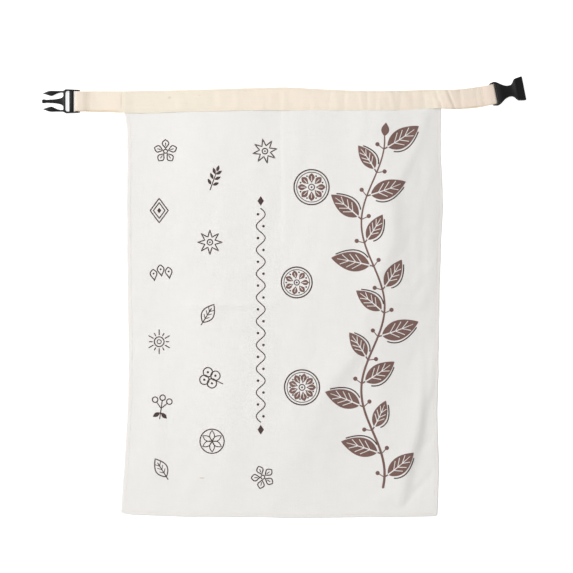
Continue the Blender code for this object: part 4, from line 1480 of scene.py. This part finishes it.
def socket_half(rounding):
    """An hourglass shell, open at its mouth and at both sides of its waist, hooks and a bar."""
    rows = [*drawn_through(SOCKET_WAIST, 1.0), *SOCKET_BLOCK]
    along, half = np.array(rows).T
    bottom = RAMP_DEPTH * (1 - ease(along, along[0], RAMP_END))
    dip = WAIST_DIP * ease(along, *WAIST_DIP_START) * (1 - ease(along, *WAIST_DIP_END))
    top = SOCKET_HEIGHT - bottom - dip
    body = lofted(np.stack((along, -half, half, bottom, top), 1).tolist())
    softened(body, SOCKET_ROUNDING)
    inside = (SOCKET_WALL, SOCKET_HEIGHT - SOCKET_WALL)
    cutters = [softened(lofted(centred(hollow, *inside)), HOLLOW_ROUNDING)
               for hollow in (SIDE_WINDOWS, WAY_IN)]
    for faces in ((-1.0, PANEL_DEPTH), (SOCKET_HEIGHT - PANEL_DEPTH, SOCKET_HEIGHT + 1)):
        cutters.append(round_upright_edges(lofted(centred(SUNK_PANEL, *faces)), PANEL_CORNER))
    for cutter in cutters:
        combined(body, cutter, "DIFFERENCE")
    hook = drawn_through(SOCKET_HOOK, 0.9)
    for side in (1, -1):
        combined(body, softened(lofted(shifted(hook, 0.0, side)), rounding), "UNION")
    combined(body, tape_bar(SOCKET_BAR, SOCKET_HEIGHT / 2, IN_HOOK), "UNION")
    body.location = (SOCKET_FOOT[0] * MM, SOCKET_FOOT[1] * MM, 0.0)
    body.rotation_euler = (0.0, 0.0, SOCKET_TURN)
    return body


def moulded(piece, name, node, finish):
    """Finishes a buckle half where its solid is, and lets it ride on the bag."""
    selected(piece)
    bpy.ops.object.transform_apply()
    bpy.ops.object.mode_set(mode="EDIT")
    bpy.ops.mesh.select_all(action="SELECT")
    bpy.ops.mesh.remove_doubles(threshold=0.00001)
    bpy.ops.mesh.normals_make_consistent(inside=False)
    bpy.ops.object.mode_set(mode="OBJECT")
    bpy.ops.object.shade_smooth_by_angle(angle=math.radians(35))
    piece.name = piece.data.name = name
    piece.data.materials.clear()
    piece.data.materials.append(finish)
    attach(piece, BODY)
    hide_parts(node)


# ---------------------------------------------------------------- materials


def add(tree, kind, inputs=None, **settings):
    """Adds a node, and sets or links its inputs by name or number."""
    made = tree.nodes.new(kind)
    for name, value in settings.items():
        setattr(made, name, value)
    for key, value in (inputs or {}).items():
        if isinstance(value, bpy.types.NodeSocket):
            tree.links.new(value, made.inputs[key])
        else:
            made.inputs[key].default_value = value
    return made


def maths(tree, operation, *values):
    """The result of one operation on numbers."""
    inputs = dict(enumerate(values))
    return add(tree, "ShaderNodeMath", inputs, operation=operation).outputs[0]


def times(tree, first, second):
    return maths(tree, "MULTIPLY", first, second)


def plus(tree, first, second):
    return maths(tree, "ADD", first, second)


def vector(tree, operation, *values, **named):
    """The result of one operation on vectors."""
    inputs = {**dict(enumerate(values)), **named}
    return add(tree, "ShaderNodeVectorMath", inputs, operation=operation).outputs[0]


def noise(tree, place, scale, detail=2.0, roughness=0.5, output="Fac"):
    """Soft noise, with about this many bumps to a metre."""
    inputs = {"Vector": place, "Scale": scale, "Detail": detail, "Roughness": roughness}
    return add(tree, "ShaderNodeTexNoise", inputs).outputs[output]


def streaks(tree, place, stretch, detail=2.0, roughness=0.5):
    """Noise with this many bumps to a metre each way."""
    return noise(tree, vector(tree, "MULTIPLY", place, stretch), 1.0, detail, roughness)


def ramp(tree, value, low, high, to_low=0.0, to_high=1.0):
    """The value, stretched from one range to another and held inside it."""
    inputs = {0: value, 1: low, 2: high, 3: to_low, 4: to_high}
    return add(tree, "ShaderNodeMapRange", inputs, clamp=True).outputs[0]


def mixed(tree, share, first, second):
    """The first colour, and this share of the second over it."""
    inputs = {0: share, 6: first, 7: second}
    return add(tree, "ShaderNodeMix", inputs, data_type="RGBA").outputs[2]


def grouped(tree, build, **inputs):
    """Adds a shader group, built the first time that it is asked for, and returns its outputs."""
    name = build.__name__.replace("_", " ").capitalize()
    group = bpy.data.node_groups.get(name)
    if group is None:
        group = bpy.data.node_groups.new(name, "ShaderNodeTree")
        for label in inputs:
            kind = "NodeSocketVector" if label == "Place" else "NodeSocketFloat"
            group.interface.new_socket(label, in_out="INPUT", socket_type=kind)
        results = build(group, group.nodes.new("NodeGroupInput").outputs)
        for label in results:
            group.interface.new_socket(label, in_out="OUTPUT", socket_type="NodeSocketFloat")
        leaving = group.nodes.new("NodeGroupOutput")
        for label, socket in results.items():
            group.links.new(socket, leaving.inputs[label])
    return add(tree, "ShaderNodeGroup", inputs, node_tree=group).outputs


def plain_weave(tree, given):
    """Threads over and under each other, of uneven thickness, on a map in metres."""
    count = maths(tree, "DIVIDE", 1.0, given["Pitch"])
    place = vector(tree, "SCALE", given["Place"], Scale=count)
    drift = noise(tree, place, 0.07, output="Color")
    drift = vector(tree, "SCALE", vector(tree, "SUBTRACT", drift, (0.5, 0.5, 0.5)), Scale=1.6)
    wandering = add(tree, "ShaderNodeSeparateXYZ", {0: vector(tree, "ADD", place, drift)}).outputs
    waves = [maths(tree, "SINE", times(tree, wandering[axis], math.pi)) for axis in (0, 1)]
    warp_up = maths(tree, "GREATER_THAN", times(tree, *waves), 0.0)
    across, along = (maths(tree, "ABSOLUTE", wave) for wave in waves)
    warp = times(tree, across, maths(tree, "POWER", along, 0.4))
    weft = times(tree, maths(tree, "POWER", across, 0.4), along)
    thread = add(tree, "ShaderNodeMix", {0: warp_up, 2: weft, 3: warp}).outputs[0]
    warp_slub = streaks(tree, place, (0.9, 0.03, 1.0), 3.0, 0.6)
    weft_slub = streaks(tree, place, (0.03, 0.9, 1.0), 3.0, 0.6)
    slub = add(tree, "ShaderNodeMix", {0: warp_up, 2: weft_slub, 3: warp_slub}).outputs[0]
    slub = times(tree, maths(tree, "SUBTRACT", slub, 0.5), given["Slub"])
    both = maths(tree, "SUBTRACT", plus(tree, warp_slub, weft_slub), 1.0)
    return {
        "Height": times(tree, thread, plus(tree, 1.0, times(tree, slub, 1.6))),
        "Gap": ramp(tree, thread, 0.42, 0.05),
        "Slub": plus(tree, 0.5, times(tree, both, given["Slub"])),
    }


def mottle(tree, given):
    """Slow, cloudy change of tone, and the small unevenness of a handled surface."""
    large = noise(tree, given["Place"], given["Scale"], 3.0, 0.55)
    small = noise(tree, given["Place"], times(tree, given["Scale"], 9.0), 3.0, 0.6)
    tone = plus(tree, times(tree, large, 0.65), times(tree, small, 0.35))
    return {"Tone": ramp(tree, tone, 0.3, 0.7), "Height": small}


def rgba(values):
    """A colour with full cover."""
    return (*values, 1.0)


def shader_of(name, roughness, **sockets):
    """A new material, its tree and its Principled shader."""
    finish = bpy.data.materials.new(name)
    finish.use_nodes = True
    shader = finish.node_tree.nodes["Principled BSDF"]
    shader.inputs["Roughness"].default_value = roughness
    for socket, value in sockets.items():
        shader.inputs[socket.replace("_", " ")].default_value = value
    return finish, finish.node_tree, shader


def painted(finish, base):
    """The finish with this base colour."""
    shader = finish.node_tree.nodes["Principled BSDF"]
    finish.node_tree.links.new(base, shader.inputs["Base Color"])
    return finish


def bumped(tree, shader, height, depth, strength):
    """Gives the shader a relief of this depth in metres."""
    inputs = {"Height": height, "Distance": depth, "Strength": strength}
    tree.links.new(add(tree, "ShaderNodeBump", inputs).outputs[0], shader.inputs["Normal"])


def woven(tree, shader, place, pitch, slub, depth):
    """Gives the shader the relief of the weave, and returns the weave's outputs."""
    weave = grouped(tree, plain_weave, Place=place, Pitch=pitch, Slub=slub)
    bumped(tree, shader, weave["Height"], depth, 0.7)
    return weave


def clouds(tree, place, scale):
    """Slow, cloudy tone from 0 to 1."""
    return grouped(tree, mottle, Place=place, Scale=scale)["Tone"]


def darker(tree, base, by, amount):
    """The base colour times 1 less some share of a mask."""
    keep = maths(tree, "SUBTRACT", 1.0, times(tree, by, amount))
    return vector(tree, "MULTIPLY", base, keep)


def map_place(tree):
    """The place on the piece's own map, in metres."""
    return add(tree, "ShaderNodeUVMap", uv_map="UVMap").outputs[0]


def spotted(tree, base, place, spot, spot_colour):
    """The base colour with a rough-edged spot: x, y, half length, half height, strength."""
    x, y, half_length, half_height = (value * MM for value in spot[:4])
    away = vector(tree, "SUBTRACT", place, (x, y, 0.0))
    away = vector(tree, "DIVIDE", away, (half_length, half_height, 1.0))
    away = add(tree, "ShaderNodeVectorMath", {0: away}, operation="LENGTH").outputs["Value"]
    rough = plus(tree, away, times(tree, noise(tree, place, 2500.0), 0.9))
    return mixed(tree, ramp(tree, rough, 1.5, 0.9, 0.0, spot[4]), base, rgba(spot_colour))


# Rust mark on the front: x, y, half length, half height, strength; and its colour
CLOTH_STAIN, RUST = (-77.5, -170.8, 3.2, 0.5, 0.6), (0.42, 0.16, 0.05)
# Marks on the tape, on its own map: over the bag's left seam, and two small ones to its right
TAPE_MARKS = (
    (62.9, 1.8, 1.3, 9.0, 0.16),
    (108.6, 3.4, 2.0, 1.7, 0.22),
    (137.0, 4.6, 1.0, 0.8, 0.16),
)


def cloth_finish(settings, name, stained):
    """Off-white plain weave, matt, a little warmer over the seam allowances."""
    finish, tree, shader = shader_of(name, 0.92, Sheen_Weight=0.12, Sheen_Roughness=0.5,
                                     Specular_IOR_Level=0.25)
    place = map_place(tree)
    weave = woven(tree, shader, place, settings.thread_pitch, settings.slub, 0.00016)
    strip = add(tree, "ShaderNodeAttribute", attribute_name="seam_strip").outputs["Fac"]
    base = mixed(tree, strip, rgba(settings.colour), rgba(settings.seam_colour))
    base = darker(tree, base, clouds(tree, place, 9.0), 0.022)
    base = darker(tree, base, weave["Gap"], 0.20)
    base = darker(tree, base, ramp(tree, weave["Slub"], 0.35, 0.75), 0.05)
    if stained:
        base = spotted(tree, base, place, CLOTH_STAIN, RUST)
    return painted(finish, base)


# On the tape's map, in metres: where it turns pinker, where its sewn end is duller, the painted
# shade along its lower edge, and where the straps begin, as the middle and two distances from it
PINK_FROM = (0.135, 0.19)
DULL_FROM = (0.394, 0.406)
SHADED_EDGE = (-0.0076, -0.0086)
STRAPS_FROM = (0.2146, 0.151, 0.156)


def tape_finish(settings):
    """Cream cotton tape of finer, ribbed weave with a few brown seed flecks."""
    finish, tree, shader = shader_of("Cream cotton tape", 0.9, Sheen_Weight=0.12,
                                     Sheen_Roughness=0.5, Specular_IOR_Level=0.25)
    place = map_place(tree)
    ribbed = vector(tree, "MULTIPLY", place, (0.72, 1.0, 1.0))
    weave = woven(tree, shader, ribbed, settings.thread_pitch, 0.7, 0.00015)
    ribs = streaks(tree, place, (40.0, 900.0, 1.0), 3.0, 0.6)
    base = darker(tree, tuple(settings.colour), clouds(tree, place, 28.0), 0.035)
    base = darker(tree, base, weave["Gap"], 0.22)
    base = darker(tree, base, ramp(tree, ribs, 0.4, 0.75), 0.045)
    along, across, _ = add(tree, "ShaderNodeSeparateXYZ", {0: place}).outputs
    off_middle = maths(tree, "ABSOLUTE", maths(tree, "SUBTRACT", along, STRAPS_FROM[0]))
    strap = ramp(tree, off_middle, *STRAPS_FROM[1:])
    patches = streaks(tree, place, (55.0, 90.0, 1.0), 3.0)
    pinker = ramp(tree, along, *PINK_FROM, 0.1, 0.55)
    pinker = plus(tree, pinker, times(tree, strap, 0.45))
    pinker = times(tree, pinker, ramp(tree, patches, 0.36, 0.64, 0.6, 1.2))
    base = mixed(tree, pinker, base, rgba(settings.pink_colour))
    base = darker(tree, base, strap, 0.045)
    base = darker(tree, base, ramp(tree, along, *DULL_FROM), 0.10)
    # Painted shade: the straps' lower edge, which turns away from the light, is coloured darker
    # and browner
    wear_and_shade = times(tree, ramp(tree, across, *SHADED_EDGE), strap)
    base = mixed(tree, times(tree, wear_and_shade, 0.7), base, rgba(settings.edge_shade_colour))
    for mark in TAPE_MARKS:
        base = spotted(tree, base, place, mark, settings.fleck_colour)
    flecks = streaks(tree, place, (130.0, 420.0, 1.0), 2.0, 0.4)
    flecks = ramp(tree, flecks, 0.755, 0.80, 0.0, 0.55)
    return painted(finish, mixed(tree, flecks, base, rgba(settings.fleck_colour)))


def thread_finish(name, thread_colour):
    """Twisted cotton thread."""
    finish, tree, shader = shader_of(name, 0.8, Sheen_Weight=0.1)
    place = add(tree, "ShaderNodeTexCoord").outputs["Object"]
    twist = noise(tree, place, 5200.0)
    bumped(tree, shader, twist, 0.00006, 0.6)
    base = darker(tree, tuple(thread_colour), ramp(tree, twist, 0.35, 0.7), 0.18)
    return painted(finish, base)


def ink_finish(name, colour, cloth):
    """Matt ink that the weave shows through, thin on the highest threads."""
    finish, tree, shader = shader_of(name, 0.88, Specular_IOR_Level=0.2)
    place = map_place(tree)
    weave = woven(tree, shader, place, cloth.thread_pitch, cloth.slub, 0.00012)
    base = darker(tree, tuple(colour), clouds(tree, place, 60.0), 0.16)
    # Ink worn thin on the highest threads
    wear_and_shade = ramp(tree, noise(tree, place, 1500.0, 3.0, 0.7), 0.60, 0.74)
    bare = times(tree, wear_and_shade, ramp(tree, weave["Height"], 0.75, 1.05))
    base = mixed(tree, times(tree, bare, 0.5), base, rgba(cloth.colour))
    lighter = ramp(tree, weave["Slub"], 0.4, 0.8, 0.0, 0.07)
    return painted(finish, mixed(tree, lighter, base, rgba(cloth.colour)))


def plastic_finish(settings):
    """Black moulded plastic with a fine grain, a little scuffed."""
    finish, tree, shader = shader_of("Black moulded plastic", settings.roughness,
                                     Specular_IOR_Level=0.26)
    place = add(tree, "ShaderNodeTexCoord").outputs["Object"]
    grain = noise(tree, place, 3200.0, 3.0, 0.6)
    scuffs = ramp(tree, streaks(tree, place, (300.0, 2600.0, 900.0)), 0.66, 0.74)
    low = settings.roughness - 0.07
    rough = plus(tree, ramp(tree, grain, 0.3, 0.7, low, low + 0.12), times(tree, scuffs, 0.12))
    tree.links.new(rough, shader.inputs["Roughness"])
    bumped(tree, shader, grain, 0.00004, 0.35)
    base = darker(tree, tuple(settings.colour), clouds(tree, place, 120.0), 0.25)
    return painted(finish, mixed(tree, times(tree, scuffs, 0.10), base, (0.04, 0.04, 0.04, 1.0)))


def floor_finish(settings):
    """A pale matt floor that glows a little, so that it is as white as in the photograph."""
    finish, tree, shader = shader_of("Pale floor", 0.9, Specular_IOR_Level=0.0)
    place = add(tree, "ShaderNodeTexCoord").outputs["Object"]
    base = darker(tree, tuple(settings.floor_colour), noise(tree, place, 3.0), 0.01)
    shader.inputs["Emission Color"].default_value = (1.0, 1.0, 1.0, 1.0)
    shader.inputs["Emission Strength"].default_value = settings.floor_glow
    return painted(finish, base)


# ---------------------------------------------------------------- operators


class BREADBAG_OT_back_panel(bpy.types.Operator):
    """Make the cloth of the back panel"""

    bl_idname = "bread_bag.back_panel"
    bl_label = "Back panel"

    def execute(self, context):
        cloth = context.scene.bag_cloth
        grid = panel_grid(cloth.back_cell / MM, BACK_EDGE_CELL)
        mesh = panel(grid, back_bottom, cloth.thickness / MM, FOLD_RADIUS, -1, MOUTH_HEM)
        seam_strip(mesh)
        finish = cloth_finish(cloth, "Plain cloth, back", False)
        piece = in_place("back_cloth", mesh, finish)
        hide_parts("back_panel")
        return {"FINISHED"}


class BREADBAG_OT_front_panel(bpy.types.Operator):
    """Make the cloth of the front panel, with its creases"""

    bl_idname = "bread_bag.front_panel"
    bl_label = "Front panel"

    def execute(self, context):
        cloth = context.scene.bag_cloth
        grid = panel_grid(cloth.cell / MM, FRONT_EDGE_CELL)
        mesh = panel(grid, lambda x, y: front_top(x, y, cloth.crumple), cloth.thickness / MM,
                     FRONT_LOW - FOLD_RADIUS, 1, 0.0)
        seam_strip(mesh)
        finish = cloth_finish(cloth, "Plain cloth, front", True)
        piece = in_place("front_cloth", mesh, finish)
        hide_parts("front_panel")
        return {"FINISHED"}


class BREADBAG_OT_ornament(bpy.types.Operator):
    """Print the ornament on the front panel"""

    bl_idname = "bread_bag.ornament"
    bl_label = "Printed ornament"

    def execute(self, context):
        ink, cloth = context.scene.bag_print, context.scene.bag_cloth
        art = Ornament(ink.line / MM)
        vine(art)
        garland(art)
        for x, y, radius, petals in ROSETTES:
            rosette(art.at(x, y), radius, petals)
        for draw, x, y, turn in SMALL_ORNAMENTS:
            draw(art.at(x, y, turn))
        for name, tone in ((SOLID, ink.solid_colour), (LINE, ink.line_colour)):
            mesh = film_mesh(art.strokes[name], ink.cell / MM, ink.film / MM)
            in_place(name, mesh, ink_finish(f"Brown ink, {name[9:]}", tone, cloth))
        return {"FINISHED"}


class BREADBAG_OT_tape(bpy.types.Operator):
    """Make the mouth tape with its loops and sewn ends"""

    bl_idname = "bread_bag.tape"
    bl_label = "Mouth tape"

    def execute(self, context):
        tape = context.scene.bag_tape
        mesh = tape_mesh(tape.thickness / MM, tape.ripple / MM)
        piece = in_place("mouth_tape_cloth", mesh, tape_finish(tape))
        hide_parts("mouth_tape")
        return {"FINISHED"}


class BREADBAG_OT_stitching(bpy.types.Operator):
    """Sew the tape, the seams and the edges"""

    bl_idname = "bread_bag.stitching"
    bl_label = "Stitching"

    def execute(self, context):
        thread = context.scene.bag_thread
        ecru = thread_finish("Sewing thread, ecru", thread.colour)
        pale = thread_finish("Sewing thread, pale", thread.seam_colour)
        sizes = (thread.thickness / MM, thread.stitch / MM)
        on_tape, on_seams, joining = Stitches(*sizes), Stitches(*sizes), Stitches(*sizes)
        sew_tape(on_tape, context.scene.bag_tape)
        sew_seams(on_seams)
        join_edges(joining)
        in_place("tape_stitches", on_tape.mesh(), ecru)
        in_place("seam_stitches", on_seams.mesh(), pale)
        in_place("edge_stitches", joining.mesh(), pale)
        return {"FINISHED"}


class BREADBAG_OT_buckle(bpy.types.Operator):
    """Mould both halves of the side-release buckle"""

    bl_idname = "bread_bag.buckle"
    bl_label = "Buckle"

    def execute(self, context):
        buckle = context.scene.bag_buckle
        finish = plastic_finish(buckle)
        rounding = buckle.rounding / MM
        moulded(prong_half(rounding), "buckle_prong_half", "buckle_prong", finish)
        moulded(socket_half(rounding), "buckle_socket_half", "buckle_socket", finish)
        return {"FINISHED"}


class BREADBAG_OT_sheets(bpy.types.Operator):
    bl_idname = "bread_bag.sheets"
    bl_label = "Cut sizes"

    def execute(self, context):
        return {"FINISHED"}


CAMERA_CENTRE = (2.36, 10.2)  # the middle of the picture, on the bag
BAG_HEIGHT = 6.0  # the height that the picture's width is measured at
KEY_PLACE, KEY_SIZE = (-2.4, 0.8, 2.8), 2.2  # in metres
FLOOR_SIZE, FLOOR_DROP = 12.0, 0.00003  # in metres; the drop keeps it clear of the back panel
# Light from all round: its brightness at the horizon, as a share of the fill, and the upward
# directions (0 level, 1 straight up) between which it falls to the ceiling's
HORIZON, CEILING_START, CEILING_FULL = 1.2, 0.55, 0.97


class BREADBAG_OT_stage(bpy.types.Operator):
    """Set the pale floor, the soft light and the camera straight above"""

    bl_idname = "bread_bag.stage"
    bl_label = "Stage"

    def execute(self, context):
        scene, stage = context.scene, context.scene.bag_stage
        deselected()
        bpy.ops.mesh.primitive_plane_add(size=FLOOR_SIZE, location=(0.0, 0.0, -FLOOR_DROP))
        bpy.ops.object.transform_apply()
        floor = context.object
        floor.name = floor.data.name = "floor"
        floor.data.materials.append(floor_finish(stage))

        world = bpy.data.worlds.new("White room")
        world.use_nodes = True
        tree = world.node_tree
        looking = add(tree, "ShaderNodeTexCoord").outputs["Generated"]
        up = add(tree, "ShaderNodeSeparateXYZ", {0: looking}).outputs["Z"]
        bright = ramp(tree, up, CEILING_START, CEILING_FULL,
                      stage.fill * HORIZON, stage.fill * stage.ceiling)
        tree.links.new(bright, tree.nodes["Background"].inputs["Strength"])
        tree.nodes["Background"].inputs["Color"].default_value = (1.0, 1.0, 1.0, 1.0)
        scene.world = world

        lamp = bpy.data.lights.new("Large soft light", "AREA")
        lamp.shape, lamp.size, lamp.energy = "DISK", KEY_SIZE, stage.key_power
        key = bpy.data.objects.new("Large soft light", lamp)
        key.location = KEY_PLACE
        key.rotation_euler = (-key.location).to_track_quat("-Z", "Y").to_euler()
        scene.collection.objects.link(key)

        lens = bpy.data.cameras.new("Camera above")
        lens.lens = stage.lens
        camera = bpy.data.objects.new("Camera above", lens)
        away = stage.field * lens.lens / lens.sensor_width
        x, y = CAMERA_CENTRE
        camera.location = (x * MM, y * MM, BAG_HEIGHT * MM + away)
        scene.collection.objects.link(camera)
        scene.camera = camera
        scene.view_settings.view_transform = "Standard"
        return {"FINISHED"}


SETTINGS = {
    "bag_cloth": ClothSettings,
    "bag_print": PrintSettings,
    "bag_tape": TapeSettings,
    "bag_thread": ThreadSettings,
    "bag_buckle": BuckleSettings,
    "bag_stage": StageSettings,
}
OPERATORS = (
    BREADBAG_OT_back_panel,
    BREADBAG_OT_front_panel,
    BREADBAG_OT_ornament,
    BREADBAG_OT_tape,
    BREADBAG_OT_stitching,
    BREADBAG_OT_buckle,
    BREADBAG_OT_sheets,
    BREADBAG_OT_stage,
)


class BREADBAG_PT_panel(bpy.types.Panel):
    """Settings and steps of the bread bag"""

    bl_label = "Bread bag"
    bl_space_type = "VIEW_3D"
    bl_region_type = "UI"
    bl_category = "Bread bag"

    def draw(self, context):
        for operator in OPERATORS:
            self.layout.operator(operator.bl_idname)
        for name, kind in SETTINGS.items():
            box = self.layout.box()
            for setting in kind.__annotations__:
                box.prop(getattr(context.scene, name), setting)


def register():
    for kind in (*SETTINGS.values(), *OPERATORS, BREADBAG_PT_panel):
        bpy.utils.register_class(kind)
    for name, kind in SETTINGS.items():
        setattr(bpy.types.Scene, name, PointerProperty(type=kind))


def unregister():
    for name in SETTINGS:
        delattr(bpy.types.Scene, name)
    for kind in reversed((*SETTINGS.values(), *OPERATORS, BREADBAG_PT_panel)):
        bpy.utils.unregister_class(kind)


def main():
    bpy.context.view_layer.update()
    register()
    for operator in OPERATORS:
        category, name = operator.bl_idname.split(".")
        getattr(getattr(bpy.ops, category), name)()


if __name__ == "__main__":
    main()
